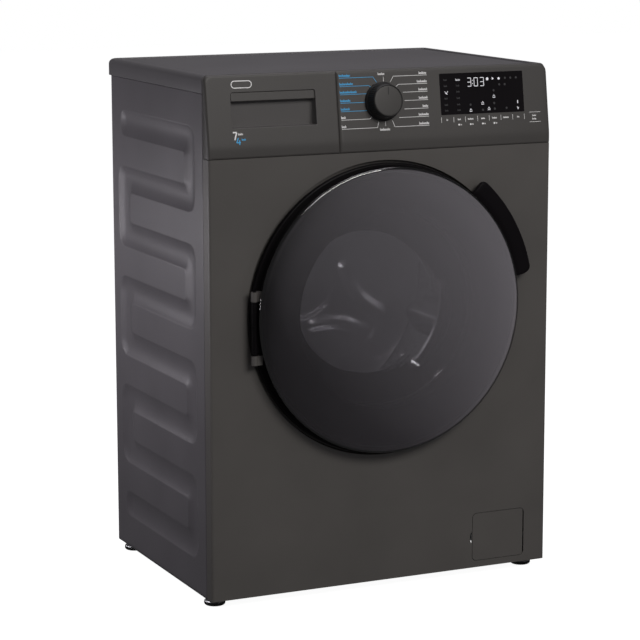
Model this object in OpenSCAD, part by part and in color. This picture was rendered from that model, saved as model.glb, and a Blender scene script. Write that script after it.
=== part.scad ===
// Front load washing machine, free standing, about 600 mm wide.
// Frame: +X right, +Y to the rear, +Z up. The floor is Z = 0, and X = 0, Y = 0 is the middle of
// the whole footprint, door included.

/* [Cabinet] */
// Width across the side panels
body_w = 598; // [560:1:720]
// Depth from the front panel's face to the side panels' rear edge
body_d = 420; // [390:1:620]
// Height from the floor to the top of the worktop
total_h = 840; // [820:1:1010]
// Height of the cabinet's lower edge above the floor
floor_gap = 16; // [14:1:20]
// Thickness of the sheet metal
sheet = 1; // [0.8:0.1:1.4]
// Depth of the front panel's and fascia's side returns
panel_return = 22; // [16:1:30]
// Radius of the front panel's upright edges
edge_r = 4; // [2:0.5:8]
// Gap between neighbouring panels
seam = 0.4; // [0.2:0.1:1]

/* [Side channels] */
// How deep the channel is pressed into each side panel
channel_depth = 5; // [2:0.5:6]
// Height of one run of the channel
channel_h = 40; // [30:1:46]
// Distance from one run to the next
channel_pitch = 92.3; // [80:0.1:100]
// Number of runs
channel_runs = 8; // [4:2:8]
// Distance of the top run's middle below the worktop
channel_drop = 74; // [60:1:100]
// Distance of the channel from the front panel's face
channel_front = 55; // [45:1:80]
// Distance of the channel from the rear edge
channel_rear = 30; // [25:1:60]
// Outer corner radius of the channel
channel_r = 27; // [20:1:30]

/* [Worktop] */
// Thickness of the worktop's rim
worktop_t = 28; // [20:1:40]
// How far the worktop stands out past each side panel
side_over = 1; // [0.5:0.5:5]
// How far the worktop stands out behind the side panels
rear_over = 18; // [16:1:40]
// Width of the worktop's raised rim
rim_w = 14; // [8:1:30]
// How far the board lies below the rim
board_drop = 1.5; // [0.5:0.5:4]

/* [Fascia] */
// Height of the control fascia
fascia_h = 127; // [120:1:135]
// Height of the fascia's upright foot, below the crease
crease_h = 16; // [8:1:24]
// How far the fascia leans back at its top
fascia_lean = 16; // [8:1:18]
// Wall of the plastic mouldings
wall = 3; // [2:0.5:4]
// Left edge of the fixed fascia, where the drawer front ends
drawer_seam_x = -78; // [-90:1:-70]
// Width of the display window
display_w = 155; // [100:1:160]
// Height of the display window
display_h = 66; // [40:1:70]
// Middle of the display window from the centre line
display_x = 176.5; // [170:0.5:190]
// Middle of the display window below the worktop's top
display_drop = 43; // [40:1:60]
// Middle of the programme knob below the worktop's top
knob_drop = 50; // [45:1:60]
// Radius of the programme knob
knob_r = 29; // [22:0.5:30]
// How far the knob stands out of the fascia
knob_proud = 22; // [12:1:26]
// Radius of the knob's shaft
knob_shaft_r = 4; // [3:0.5:6]

/* [Detergent drawer] */
// Left end of the grip recess
grip_left_x = -257; // [-262:1:-250]
// Right end of the grip recess
grip_right_x = -115; // [-130:1:-100]
// Bottom of the grip recess above the fascia's lower edge
grip_bottom = 46; // [40:1:60]
// Height of the grip recess
grip_h = 54; // [40:1:58]
// Depth of the grip recess
grip_depth = 26; // [20:1:28]
// Width of the drawer's tray
tray_w = 148; // [120:1:150]
// Length of the drawer's tray
tray_len = 222; // [180:1:230]
// Height of the drawer's tray
tray_h = 48; // [36:1:50]
// How far the drawer pulls out
drawer_travel = 200; // [120:1:210]

/* [Door] */
// Height of the door's and drum's centre
door_z = 462; // [440:1:480]
// Radius of the door's outer disc
disc_r = 228.3; // [220:0.1:230]
// Thickness of the outer disc
disc_t = 5; // [3:0.5:8]
// How far the door stands out of the front panel
door_proj = 31; // [26:1:36]
// Radius of the door's black ring
ring_r = 233; // [230:0.5:236]
// Inner radius of the ring, round the glass
ring_in_r = 157; // [150:0.5:160]
// Radius of the recess round the door
recess_r = 238.5; // [236:0.5:245]
// Depth of the recess round the door
recess_depth = 8; // [7:0.5:10]
// Radius of the loading opening
opening_r = 166; // [164:0.5:175]
// Depth of the glass bowl behind the front panel's face
bowl_depth = 108; // [90:1:115]
// Thickness of the bowl's glass
glass_t = 5; // [3:0.5:7]
// Distance of the hinge axis from the centre line
hinge_x = 231; // [229:0.5:233]
// Distance of the hinge axis in front of the front panel
hinge_proud = 15; // [13:0.5:17]
// Distance of the hinge's middle below the door's centre
hinge_drop = 12; // [0:1:20]
// Distance between the middles of the hinge's fixed knuckles
knuckle_gap = 100; // [80:1:120]
// Length of one fixed knuckle
knuckle_len = 15; // [10:1:20]
// Radius of the hinge's knuckles
knuckle_r = 5.5; // [5:0.1:6]
// Radius of the hinge pin
hinge_pin_r = 3; // [2:0.1:3.5]

/* [Door handle] */
// Middle of the handle above the horizontal, in degrees
handle_angle = 30; // [20:1:40]
// Angle that the handle covers, in degrees
handle_sweep = 40; // [30:1:50]
// Outer radius of the handle, from the door's centre
handle_r = 260; // [250:1:264]
// How far the handle stands out of the front panel
handle_proud = 22; // [18:1:24]
// Radius of the handle's pivot pin
handle_pin_r = 2.5; // [2:0.1:3]

/* [Drum and tub] */
// Distance from the front panel's face to the tub's front wall
tub_setback = 78.5; // [76:0.5:100]
// Gap between the tub's front wall and the drum
drum_front_gap = 15; // [10:1:20]
// Gap between the drum and the tub's rear wall, for the spider
drum_rear_gap = 15; // [13:0.5:20]
// Space between the tub's rear wall and the side panels' rear edge
rear_space = 58.5; // [56:0.5:90]
// Outer radius of the flange that joins the tub's two halves
tub_flange_r = 266; // [240:1:270]
// Room that the springs hang in, at each side of the cabinet
side_space = 33; // [28:1:60]
// Gap between the drum and the tub's wall
drum_gap = 17; // [14:1:20]
// Wall of the tub
tub_wall = 5; // [3:0.5:6]
// Radius of the drum's loading mouth
mouth_r = 152; // [140:1:158]
// Thickness of the drum's sheet metal
drum_sheet = 1.2; // [0.8:0.1:2]
// Height of a drum lifter
lifter_h = 42; // [30:1:55]
// Number of drum lifters
lifters = 3; // [3:1:4]
// Radius of the drum shaft
shaft_r = 12.5; // [10:0.5:15]
// Outer radius of the drum bearings
bearing_r = 26; // [24:0.5:30]

/* [Drive] */
// Radius of the drum pulley
pulley_r = 140; // [110:1:150]
// Radius of the motor pulley
motor_pulley_r = 12; // [10:0.5:16]
// Height of the motor's axis
motor_z = 115; // [105:1:120]
// Radius of the motor's housing
motor_r = 52; // [40:1:56]
// Length of the motor's housing
motor_len = 105; // [80:1:120]
// Radius of the motor's shaft
motor_shaft_r = 8; // [6:0.5:10]

/* [Filter and flap] */
// Left edge of the flap's opening
flap_left_x = 163; // [160:1:170]
// Right edge of the flap's opening
flap_right_x = 260; // [250:1:265]
// Lower edge of the flap's opening
flap_bottom_z = 27; // [24:1:36]
// Height of the flap's opening
flap_h = 81; // [76:1:90]
// Corner radius of the flap
flap_r = 8; // [4:1:12]
// Radius of the filter cap
cap_r = 28; // [22:1:30]

/* [Feet] */
// Radius of a foot's pad
foot_r = 17; // [14:0.5:20]
// Height of a foot's pad
foot_h = 9; // [6:0.5:9]
// Radius of a foot's threaded stud
stud_r = 5; // [4:0.5:6]
// Distance of the feet from the cabinet's sides
foot_inset = 21; // [20:1:40]
// Distance of the front feet behind the front panel's face
foot_front = 42; // [36:1:60]
// Distance of the rear feet in front of the side panels' rear edge
foot_rear = 19.5; // [19:0.5:40]

/* [Connections] */
// Radius of the water inlet's thread
inlet_r = 13.2; // [13:0.1:13.4]
// Length of the water inlet's thread outside the rear panel
inlet_len = 15; // [10:1:16]
// Radius of the drain spigot
drain_r = 10.5; // [9:0.5:11]
// Length of the drain spigot outside the rear panel
spigot_len = 15; // [10:1:16]

/* [Hidden] */
$fn = 96;
half_w = body_w / 2;
total_d = door_proj + body_d + rear_over;
y_front = door_proj - total_d / 2;
y_rear = y_front + body_d;
y_top_rear = y_rear + rear_over;
y_side = y_front + panel_return + seam;
top_under = total_h - worktop_t;
fascia_z = total_h - fascia_h;
crease_z = fascia_z + crease_h;
lean_angle = atan(fascia_lean / (total_h - crease_z));
run_fit = 0.05;
soft_gap = 0.4;

ring_base = 6;
disc_back = door_proj - disc_t;
bowl_seat = 1.2;
hinge_z = door_z - hinge_drop;
recess_floor_r = recess_r - 3.5;
neck_depth = 20;

tub_r = tub_flange_r - 9;
drum_r = tub_r - tub_wall - drum_gap;
tub_back = body_d - rear_space;
tub_split = (tub_setback + tub_back) / 2;
drum_front_d = tub_setback + tub_wall + drum_front_gap;
drum_back_d = tub_back - tub_wall - 3 - drum_rear_gap;
hub_back = tub_back + 26;
pulley_d = hub_back + 2;
pulley_t = 14;

tray_x = (grip_left_x + grip_right_x) / 2 + 16;
tray_y = y_front + grip_depth + 6;
tray_z = fascia_z + 31;
housing_gap = 3.5;
housing_wall = 2.5;
housing_top = tray_z + tray_h + 5;

pivot_r = 221;
pivot_proud = 8;
filter_x = (flap_left_x + flap_right_x) / 2;
filter_z = flap_bottom_z + flap_h / 2;
housing_d = 110;
inlet_x = tray_x - 30;
inlet_z = tray_z + 31;
drain_x = filter_x + 28;
drain_z = filter_z + 30;
gland_z = drain_z + 80;
spring_x = half_w - side_space + 10;
lug_z = door_z + 156;
spring_top = top_under - 16;
spring_y = (drum_front_d + drum_back_d) / 2 + y_front;
hose_x = tray_x;
sump_x = 100;
sump_y = y_front + tub_setback + 22;
flap_axis_x = flap_right_x - flap_r - 1;
flap_t = 3;

shell_grey = [0.33, 0.32, 0.33];
front_grey = [0.26, 0.255, 0.24];
jet = [0.06, 0.06, 0.065];
zinc = [0.72, 0.73, 0.74];
stainless = [0.78, 0.79, 0.8];
tub_grey = [0.62, 0.64, 0.65];
concrete = [0.6, 0.59, 0.56];
rubber_grey = [0.45, 0.46, 0.47];
plastic_white = [0.9, 0.9, 0.89];

// ---- helpers ----

// Box from one corner to the opposite corner.
module box(low, high) {
    translate(low) cube(high - low);
}

// Rectangle with round corners, from one corner to the opposite corner.
module round_rect(low, high, r) {
    translate([low.x + r, low.y]) square([high.x - low.x - 2 * r, high.y - low.y]);
    translate([low.x, low.y + r]) square([high.x - low.x, high.y - low.y - 2 * r]);
    for (x = [low.x + r, high.x - r], y = [low.y + r, high.y - r]) translate([x, y]) circle(r);
}

// Half a round rectangle: the corners at x = edge are round, those at x = flat are square.
module half_round_rect(edge, flat, low, high, r) {
    way = flat > edge ? 1 : -1;
    inner = edge + way * r;
    translate([min(inner, flat), low]) square([abs(flat - inner), high - low]);
    translate([min(edge, flat), low + r]) square([abs(flat - edge), high - low - 2 * r]);
    for (z = [low + r, high - r]) translate([inner, z]) circle(r);
}

// Turns a flat shape drawn in (y, z) into a solid along +X.
module along_x(from, to) {
    translate([from, 0, 0]) rotate([90, 0, 90]) linear_extrude(to - from) children();
}

// Turns a flat shape drawn in (x, z) into a solid along +Y.
module along_y(from, to) {
    translate([0, to, 0]) rotate([90, 0, 0]) linear_extrude(to - from) children();
}

// Door axis, with local z as the distance in front of the front panel and local y up.
module proud_of_front() {
    translate([0, y_front, door_z]) rotate([90, 0, 0]) children();
}

// Drum axis, with local z as the depth behind the front panel.
module behind_front(z = door_z, x = 0) {
    translate([x, y_front, z]) rotate([-90, 0, 0]) children();
}

// A turned tube about local z.
module tube(r_out, r_in, from, to) {
    translate([0, 0, from]) difference() {
        cylinder(r = r_out, h = to - from);
        translate([0, 0, -1]) cylinder(r = r_in, h = to - from + 2);
    }
}

// A cylinder along +Y.
module rod_y(x, z, r, from, to) {
    translate([x, from, z]) rotate([-90, 0, 0]) cylinder(r = r, h = to - from);
}

// Depth of the fascia's face behind the front panel's face, at height z.
function lean_at(z) = fascia_lean * (z - crease_z) / (total_h - crease_z);

// On the leaning fascia: local z points out of it, local y runs up it.
module on_fascia(x, z) {
    translate([x, y_front + lean_at(z), z]) rotate([90 - lean_angle, 0, 0]) children();
}

// On the handle's middle line: local x points outwards, local y along the rim, local z forwards.
module on_handle() {
    proud_of_front() rotate([0, 0, handle_angle]) children();
}

// ---- cabinet ----

// Middle height of a run of the side channel.
function run_z(k) = top_under - channel_drop - k * channel_pitch;

// The side channel's outline in (y, z): runs joined in turn at the front and at the rear.
module side_channel(inset) {
    front = y_front + channel_front;
    rear = y_rear - channel_rear;
    middle = (front + rear) / 2;
    half_h = channel_h / 2 - inset;
    inner_r = 7 + inset;
    link_w = 40;
    for (k = [0 : channel_runs - 2]) {
        at_front = k % 2 == 0;
        edge = at_front ? front + inset : rear - inset;
        slot = at_front ? front + link_w - inset : rear - link_w - 10 + inset;
        past = at_front ? 1 : -1;
        difference() {
            half_round_rect(edge, middle + past, run_z(k + 1) - half_h, run_z(k) + half_h, channel_r - inset);
            half_round_rect(slot, middle + 3 * past, run_z(k + 1) + half_h, run_z(k) - half_h, inner_r);
        }
    }
    for (k = [0, channel_runs - 1])
        half_round_rect(rear - 14 - inset, middle - 1, run_z(k) - half_h, run_z(k) + half_h, 18 - inset);
}

// The right side panel; the left one is its mirror image.
module side_panel() {
    flange = 14;
    difference() {
        union() {
            box([half_w - sheet, y_side, floor_gap], [half_w, y_rear, top_under]);
            box([half_w - flange, y_side, floor_gap], [half_w, y_side + sheet, fascia_z - 2]);
            box([half_w - flange, y_rear - sheet, floor_gap], [half_w, y_rear, top_under]);
            box([half_w - flange, y_side, floor_gap], [half_w, y_rear, floor_gap + sheet]);
            along_x(half_w - channel_depth - sheet, half_w - sheet / 2) side_channel(-sheet);
        }
        along_x(half_w - channel_depth, half_w + 1) side_channel(0);
    }
}

module left_side_panel() {
    color(shell_grey) mirror([1, 0, 0]) side_panel();
}

module right_side_panel() {
    color(shell_grey) side_panel();
}

// The front panel's cross-section: a sheet with two returns.
module front_section(inset) {
    back = y_front + panel_return;
    translate([-half_w + inset + edge_r, y_front + inset])
        square([body_w - 2 * inset - 2 * edge_r, panel_return]);
    translate([-half_w + inset, y_front + inset + edge_r]) square([body_w - 2 * inset, panel_return]);
    for (side = [-1, 1])
        translate([side * (half_w - inset - edge_r), y_front + inset + edge_r]) circle(edge_r);
}

module front_panel() {
    height = fascia_z - seam - floor_gap;
    lock_slot = 13;
    color(front_grey) difference() {
        union() {
            difference() {
                translate([0, 0, floor_gap]) linear_extrude(height) front_section(0);
                translate([0, 0, floor_gap + sheet]) linear_extrude(height - 2 * sheet) front_section(sheet);
                box([-half_w - 1, y_front + panel_return, 0],
                    [half_w + 1, y_front + 3 * panel_return, total_h]);
                proud_of_front() translate([0, 0, -recess_depth])
                    cylinder(r = recess_r - 1.5, h = recess_depth + 1);
                along_y(y_front - 1, y_front + sheet + 1)
                    round_rect([flap_left_x, flap_bottom_z], [flap_right_x, flap_bottom_z + flap_h], flap_r);
                difference() {
                    rod_y(flap_left_x + 16, filter_z, 20, y_front - 1, y_front + sheet + 1);
                    rod_y(flap_left_x + 18, filter_z, 19, y_front - 2, y_front + sheet + 2);
                    box([flap_left_x - 1, y_front - 3, filter_z - 30],
                        [flap_left_x + 60, y_front + 5, filter_z + 30]);
                }
            }
            behind_front() rotate_extrude() polygon([
                [recess_r, 0], [recess_floor_r, recess_depth], [opening_r, recess_depth],
                [opening_r, neck_depth], [opening_r + sheet, neck_depth],
                [opening_r + sheet, recess_depth + sheet], [recess_floor_r + sheet, recess_depth + sheet],
                [recess_r + sheet, sheet], [recess_r + sheet, 0]
            ]);
        }
        on_handle() box([pivot_r - 12, -lock_slot, -recess_depth - 2],
            [pivot_r + 11, lock_slot, -recess_depth + 1]);
    }
}

module rear_panel() {
    color(shell_grey) difference() {
        union() {
            box([-half_w + sheet, y_rear - 2 * sheet, floor_gap + sheet],
                [half_w - sheet, y_rear - sheet, top_under]);
            for (z = [door_z - 150, door_z + 150])
                along_y(y_rear - 2 * sheet - 3, y_rear - sheet)
                    round_rect([-150, z - 30], [150, z + 30], 20);
        }
        for (z = [door_z - 150, door_z + 150])
            along_y(y_rear - 2 * sheet - 2, y_rear) round_rect([-149, z - 29], [149, z + 29], 19);
        rod_y(inlet_x, inlet_z, inlet_r + 1, y_rear - 10, y_rear + 1);
        rod_y(drain_x, drain_z, drain_r + 2.5, y_rear - 10, y_rear + 1);
        rod_y(drain_x, gland_z, 8.5, y_rear - 10, y_rear + 1);
    }
}

// Calls its children at each of the four feet.
module at_feet() {
    for (x = [-half_w + foot_inset, half_w - foot_inset], y = [y_front + foot_front, y_rear - foot_rear])
        translate([x, y, 0]) children();
}

module base_frame() {
    low = floor_gap + sheet;
    side = half_w - sheet - seam;
    front = y_side + sheet + seam;
    back = y_rear - 2 * sheet - seam;
    rail = 52;
    color(zinc) difference() {
        union() {
            difference() {
                box([-side, front, low], [side, back, low + 2]);
                box([-side + rail, front + rail, low - 1], [side - rail, back - rail, low + 3]);
            }
            for (s = [-1, 1]) translate([s * (side - 1), 0, 0]) box([-1, front, low], [1, back, low + 28]);
            box([-side, back - 2, low], [side, back, low + 28]);
            at_feet() translate([0, 0, low]) cylinder(r = 14, h = 14);
            for (s = [-1, 1]) box([s * (half_w - 76) - 12, spring_y - 20, low + 2],
                [s * (half_w - 76) + 12, spring_y - 15, low + 20]);
            for (s = [-1, 1]) box([s * (half_w - 76) - 26, spring_y - 22, low],
                [s * (half_w - 76) + 26, spring_y + 22, low + 2]);
        }
        at_feet() translate([0, 0, low - 1]) cylinder(r = stud_r + run_fit, h = 20);
    }
}

module top_crossbars() {
    side = half_w - sheet - seam;
    color(zinc) for (y = [y_front + 36, y_rear - 42]) difference() {
        box([-side, y, top_under - 14], [side, y + 22, top_under - 0.2]);
        box([-side - 1, y + 1.5, top_under - 20], [side + 1, y + 20.5, top_under - 1.7]);
    }
}

// The worktop's outline seen from above.
module worktop_outline(inset) {
    low = [-half_w - side_over + inset, y_front + panel_return + seam + inset];
    high = [half_w + side_over - inset, y_top_rear - inset];
    half_r = 10 - min(inset, 6);
    translate([low.x, low.y]) square([high.x - low.x, high.y - low.y - half_r]);
    translate([low.x + half_r, high.y - 2 * half_r]) square([high.x - low.x - 2 * half_r, 2 * half_r]);
    for (x = [low.x + half_r, high.x - half_r]) translate([x, high.y - half_r]) circle(half_r);
}

module worktop_frame() {
    color(shell_grey) difference() {
        translate([0, 0, top_under]) linear_extrude(worktop_t) worktop_outline(0);
        translate([0, 0, top_under + 3]) linear_extrude(worktop_t) worktop_outline(rim_w);
        translate([0, 0, top_under - 1]) linear_extrude(5) worktop_outline(rim_w + 12);
    }
}

module worktop_board() {
    color(shell_grey) translate([0, 0, top_under + 3])
        linear_extrude(worktop_t - 3 - board_drop) worktop_outline(rim_w + 0.3);
}

// ---- fascia ----

// The fascia's outer outline in (y, z), set in by one value all round.
module fascia_outline(inset) {
    back = y_front + panel_return;
    polygon([
        [y_front + inset, fascia_z + inset],
        [y_front + inset, crease_z],
        [y_front + lean_at(total_h - 4) + inset, total_h - 4 - inset / 2],
        [y_front + fascia_lean + 3 + inset / 2, total_h - inset],
        [back, total_h - inset],
        [back, fascia_z + inset]
    ]);
}

// A hollow length of fascia with closed ends.
module fascia_shell(from, to) {
    difference() {
        along_x(from, to) fascia_outline(0);
        along_x(from + wall, to - wall) fascia_outline(wall);
        box([from + wall, y_front + panel_return - 0.1, fascia_z + wall],
            [to - wall, y_front + panel_return + 1, total_h - wall]);
    }
}

module control_fascia() {
    bore_z = total_h - knob_drop;
    color(front_grey) difference() {
        fascia_shell(drawer_seam_x + seam, half_w);
        on_fascia(display_x, total_h - display_drop) translate([0, 0, -wall - 3])
            linear_extrude(wall + 6) round_rect([-display_w / 2, -display_h / 2],
                [display_w / 2, display_h / 2], 2);
        on_fascia(0, bore_z) translate([0, 0, -wall - 5]) cylinder(r = knob_shaft_r + run_fit, h = wall + 10);
    }
}

module display_window() {
    gap = 0.2;
    color(jet) on_fascia(display_x, total_h - display_drop) translate([0, 0, -wall])
        linear_extrude(wall + 0.2)
        round_rect([-display_w / 2 + gap, -display_h / 2 + gap],
            [display_w / 2 - gap, display_h / 2 - gap], 1.8);
}

module control_board() {
    top = top_under - 17;
    color([0.1, 0.35, 0.2]) {
        box([display_x - 85, y_front + panel_return + 2, fascia_z + 24],
            [display_x + 92, y_front + panel_return + 4, top]);
        for (k = [0 : 4])
            box([display_x - 70 + 32 * k, y_front + panel_return + 4, fascia_z + 34],
                [display_x - 52 + 32 * k, y_front + panel_return + 11, fascia_z + 58]);
        box([-14, y_front + panel_return + 2, fascia_z + 40],
            [display_x - 85, y_front + panel_return + 4, top]);
    }
}

module programme_knob() {
    color(jet) on_fascia(0, total_h - knob_drop) difference() {
        union() {
            translate([0, 0, -wall - 6]) cylinder(r = knob_shaft_r, h = wall + 10);
            translate([0, 0, 0.4]) cylinder(r = knob_r + 1, h = 5);
            translate([0, 0, 5.4]) cylinder(r1 = knob_r - 0.5, r2 = knob_r - 4.5, h = knob_proud - 6.4);
            translate([0, 0, knob_proud - 1]) cylinder(r1 = knob_r - 4.5, r2 = knob_r - 5.5, h = 1);
        }
        rotate([0, 0, -8]) box([-0.7, knob_r * 0.35, knob_proud - 0.8], [0.7, knob_r - 5.5, knob_proud + 1]);
    }
}

// ---- detergent drawer ----

module drawer_front() {
    low = fascia_z + grip_bottom;
    high = low + grip_h;
    back = y_front + grip_depth;
    step = y_front + panel_return;
    color(front_grey) difference() {
        union() {
            fascia_shell(-half_w, drawer_seam_x);
            box([grip_left_x - wall, y_front + 9, low - wall], [grip_right_x + wall, step, high + wall]);
            box([grip_left_x - wall, step - 1, low - wall],
                [grip_right_x + wall, back + wall, top_under - 1]);
        }
        difference() {
            union() {
                box([grip_left_x, y_front - 5, low], [grip_right_x, step - wall, high]);
                box([grip_left_x, y_front, low], [grip_right_x, back, top_under - 1 - wall]);
            }
            along_x(grip_left_x - 1, grip_right_x + 1) polygon([
                [y_front + lean_at(high), high + 1], [y_front + lean_at(high) + 8, high - 14],
                [y_front + lean_at(high) + 11, high - 14], [y_front + lean_at(high) + 6, high + 1]
            ]);
            along_x(grip_left_x - 1, grip_right_x + 1) polygon([
                [y_front + lean_at(low), low - 1], [y_front + lean_at(low) + 9, low - 1],
                [y_front + lean_at(low) + 9, low + 3]
            ]);
        }
    }
}

module drawer_tray() {
    left = tray_x - tray_w / 2;
    cell = (tray_w - 4 * housing_wall) / 3;
    color(plastic_white) difference() {
        box([left, tray_y - 3, tray_z], [left + tray_w, tray_y + tray_len, tray_z + tray_h]);
        for (k = [0 : 2])
            box([left + housing_wall + k * (cell + housing_wall), tray_y + 2, tray_z + housing_wall],
                [left + (k + 1) * (cell + housing_wall), tray_y + tray_len - (k == 1 ? -1 : 4),
                    tray_z + tray_h + 1]);
    }
}

module siphon_cap() {
    cell = (tray_w - 4 * housing_wall) / 3;
    left = tray_x - tray_w / 2 + housing_wall + 2 * (cell + housing_wall);
    color([0.35, 0.55, 0.75]) {
        box([left + 1, tray_y + tray_len - 44, tray_z + tray_h - 4],
            [left + cell - 1, tray_y + tray_len - 5, tray_z + tray_h - 1]);
        translate([left + cell / 2, tray_y + tray_len - 25, tray_z + 8]) tube(7, 4.5, 0, tray_h - 12);
    }
}

module dispenser_housing() {
    left = tray_x - tray_w / 2 - housing_gap - housing_wall;
    right = tray_x + tray_w / 2 + housing_gap + housing_wall;
    low = tray_z - housing_wall - 2.5;
    front = tray_y + 1;
    back = tray_y + tray_len + 12;
    color(plastic_white) difference() {
        union() {
            box([left, front, low], [right, back, housing_top]);
            rod_y(inlet_x, inlet_z, 9, back - 1, back + 10);
            translate([hose_x, sump_y + 34, low - 9]) cylinder(r = 12, h = 10);
        }
        box([left + housing_wall, front - 1, low + housing_wall],
            [right - housing_wall, back - housing_wall, housing_top - housing_wall]);
        rod_y(inlet_x, inlet_z, 6, back - 10, back + 11);
        translate([hose_x, sump_y + 34, low - 10]) cylinder(r = 9.5, h = 15);
    }
}

// ---- water and power connections ----

module inlet_valve() {
    inside = y_rear - 2 * sheet;
    color(plastic_white) {
        rod_y(inlet_x, inlet_z, inlet_r - 1, inside - 12, y_rear);
        rod_y(inlet_x, inlet_z, inlet_r, y_rear, y_rear + inlet_len);
        box([inlet_x - 17, inside - 52, inlet_z - 17], [inlet_x + 17, inside - 12, inlet_z + 17]);
        rod_y(inlet_x, inlet_z, 6, inside - 70, inside - 52);
        translate([inlet_x, inside - 32, inlet_z + 17]) cylinder(r = 12, h = 4);
    }
}

module fill_hose() {
    back = tray_y + tray_len + 12;
    color(rubber_grey) difference() {
        rod_y(inlet_x, inlet_z, 9, back + 10, y_rear - 2 * sheet - 52);
        rod_y(inlet_x, inlet_z, 6, back, y_rear);
    }
}

module drain_hose() {
    start = y_front + housing_d + 40;
    color(rubber_grey) difference() {
        union() {
            rod_y(drain_x, drain_z, drain_r + 2, start, y_rear);
            rod_y(drain_x, drain_z, drain_r, y_rear - 1, y_rear + spigot_len);
        }
        rod_y(drain_x, drain_z, drain_r - 2.5, start - 1, y_rear + spigot_len + 1);
    }
}

module cable_gland() {
    color(jet) {
        rod_y(drain_x, gland_z, 8.4, y_rear - 6, y_rear + 6);
        rod_y(drain_x, gland_z, 12, y_rear - sheet, y_rear + 3);
        rod_y(drain_x, gland_z, 12, y_rear - 2 * sheet - 4, y_rear - 2 * sheet);
    }
}

// ---- filter, pump and hoses ----

module filter_housing() {
    color(tub_grey) behind_front(filter_z, filter_x) difference() {
        union() {
            tube(cap_r + 5, cap_r + 0.5, 7, 22);
            translate([0, 0, 20]) cylinder(r = cap_r + 2, h = housing_d - 20);
        }
        translate([0, 0, 6]) cylinder(r = cap_r + 0.5, h = 16);
        translate([0, 0, 15]) cylinder(r = cap_r - 4, h = housing_d - 25);
    }
}

module drain_pump() {
    color(jet) {
        behind_front(filter_z, filter_x) translate([0, 0, housing_d]) cylinder(r = 30, h = 12);
        behind_front(filter_z, filter_x) translate([0, 0, housing_d + 12]) cylinder(r = 24, h = 38);
        rod_y(drain_x, drain_z, 8, y_front + housing_d + 10, y_front + housing_d + 40);
        box([drain_x - 14, y_front + housing_d, filter_z + 10],
            [drain_x - 2, y_front + housing_d + 12, drain_z + 6]);
        box([drain_x - 14, y_front + housing_d, drain_z - 8],
            [drain_x + 8, y_front + housing_d + 12, drain_z + 8]);
    }
}

module filter_cap() {
    color(plastic_white) behind_front(filter_z, filter_x) {
        translate([0, 0, 9]) cylinder(r = cap_r, h = 10);
        translate([0, 0, 19]) cylinder(r = cap_r - 5, h = 40);
        difference() {
            translate([0, 0, 5]) cylinder(r = cap_r - 3, h = 5);
            for (s = [-1, 1]) translate([s * 16, 0, 7]) cube([24, 60, 6], center = true);
        }
    }
}

module filter_flap() {
    gap = 0.8;
    right = flap_right_x - 1.2;
    low = flap_bottom_z + gap;
    high = flap_bottom_z + flap_h - gap;
    color(front_grey) {
        intersection() {
            translate([0, 0, low]) linear_extrude(high - low) polygon([
                [flap_left_x + gap, y_front], [right - 1.5, y_front], [right, y_front + 1.5],
                [right, y_front + flap_t], [flap_left_x + gap, y_front + flap_t]
            ]);
            along_y(y_front - 1, y_front + 10)
                round_rect([flap_left_x + gap, low], [flap_right_x, high], flap_r);
        }
        for (z = [flap_bottom_z + 14, flap_bottom_z + flap_h - 22])
            translate([flap_axis_x, y_front + flap_t, z]) cylinder(r = 2, h = 8);
        box([flap_left_x + 6, y_front + flap_t, filter_z - 6],
            [flap_left_x + 9, y_front + flap_t + 3, filter_z + 6]);
    }
}

module tub_hoses() {
    top = tray_z - housing_wall - 2.5 - 9;
    spout = door_z + sqrt(tub_r * tub_r - hose_x * hose_x) + 16;
    sump_top = door_z - sqrt(tub_r * tub_r - sump_x * sump_x) - 16;
    bend = 22;
    color(rubber_grey) {
        translate([hose_x, sump_y + 34, spout + soft_gap]) tube(12, 9, 0, top - spout - 2 * soft_gap);
        translate([sump_x, sump_y, filter_z + bend]) tube(13, 10, 0, sump_top - filter_z - bend - soft_gap);
        translate([sump_x + bend, sump_y, filter_z + bend]) rotate([90, 0, 0])
            rotate_extrude(angle = 90, start = 180) translate([bend, 0]) difference() {
                circle(13);
                circle(10);
            }
        translate([sump_x + bend, sump_y, filter_z]) rotate([0, 90, 0])
            tube(13, 10, 0, filter_x - cap_r - 2 - sump_x - bend - soft_gap);
    }
}

// ---- suspension ----

module suspension_springs() {
    color(zinc) for (s = [-1, 1]) translate([s * spring_x, spring_y, 0]) {
        tube(11, 7, lug_z + 8 + 18, spring_top - 14);
        translate([0, 0, lug_z + 8 + soft_gap]) cylinder(r = 2.2, h = 20);
        translate([0, 0, spring_top - 15]) cylinder(r = 2.2, h = 16);
    }
}

module dampers() {
    foot = [half_w - 76, 0, floor_gap + sheet + 24];
    head = [128, 0, door_z - tub_r + 22];
    reach = head - foot;
    length = norm(reach);
    tilt = atan2(reach.x, reach.z);
    color(jet) for (s = [0, 1]) mirror([s, 0, 0]) translate([foot.x, spring_y, foot.z]) rotate([0, tilt, 0]) {
        cylinder(r = 13, h = length * 0.55);
        cylinder(r = 5, h = length - 12);
    }
}

// ---- tub group ----

// A spout of the tub, standing on its round wall at x.
module tub_spout(x, y, up) {
    reach = sqrt(tub_r * tub_r - x * x);
    z = door_z + (up ? reach - 12 : -reach - 16);
    translate([x, y, z]) difference() {
        cylinder(r = 13, h = 28);
        translate([0, 0, -1]) cylinder(r = 10, h = 30);
    }
}

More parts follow.
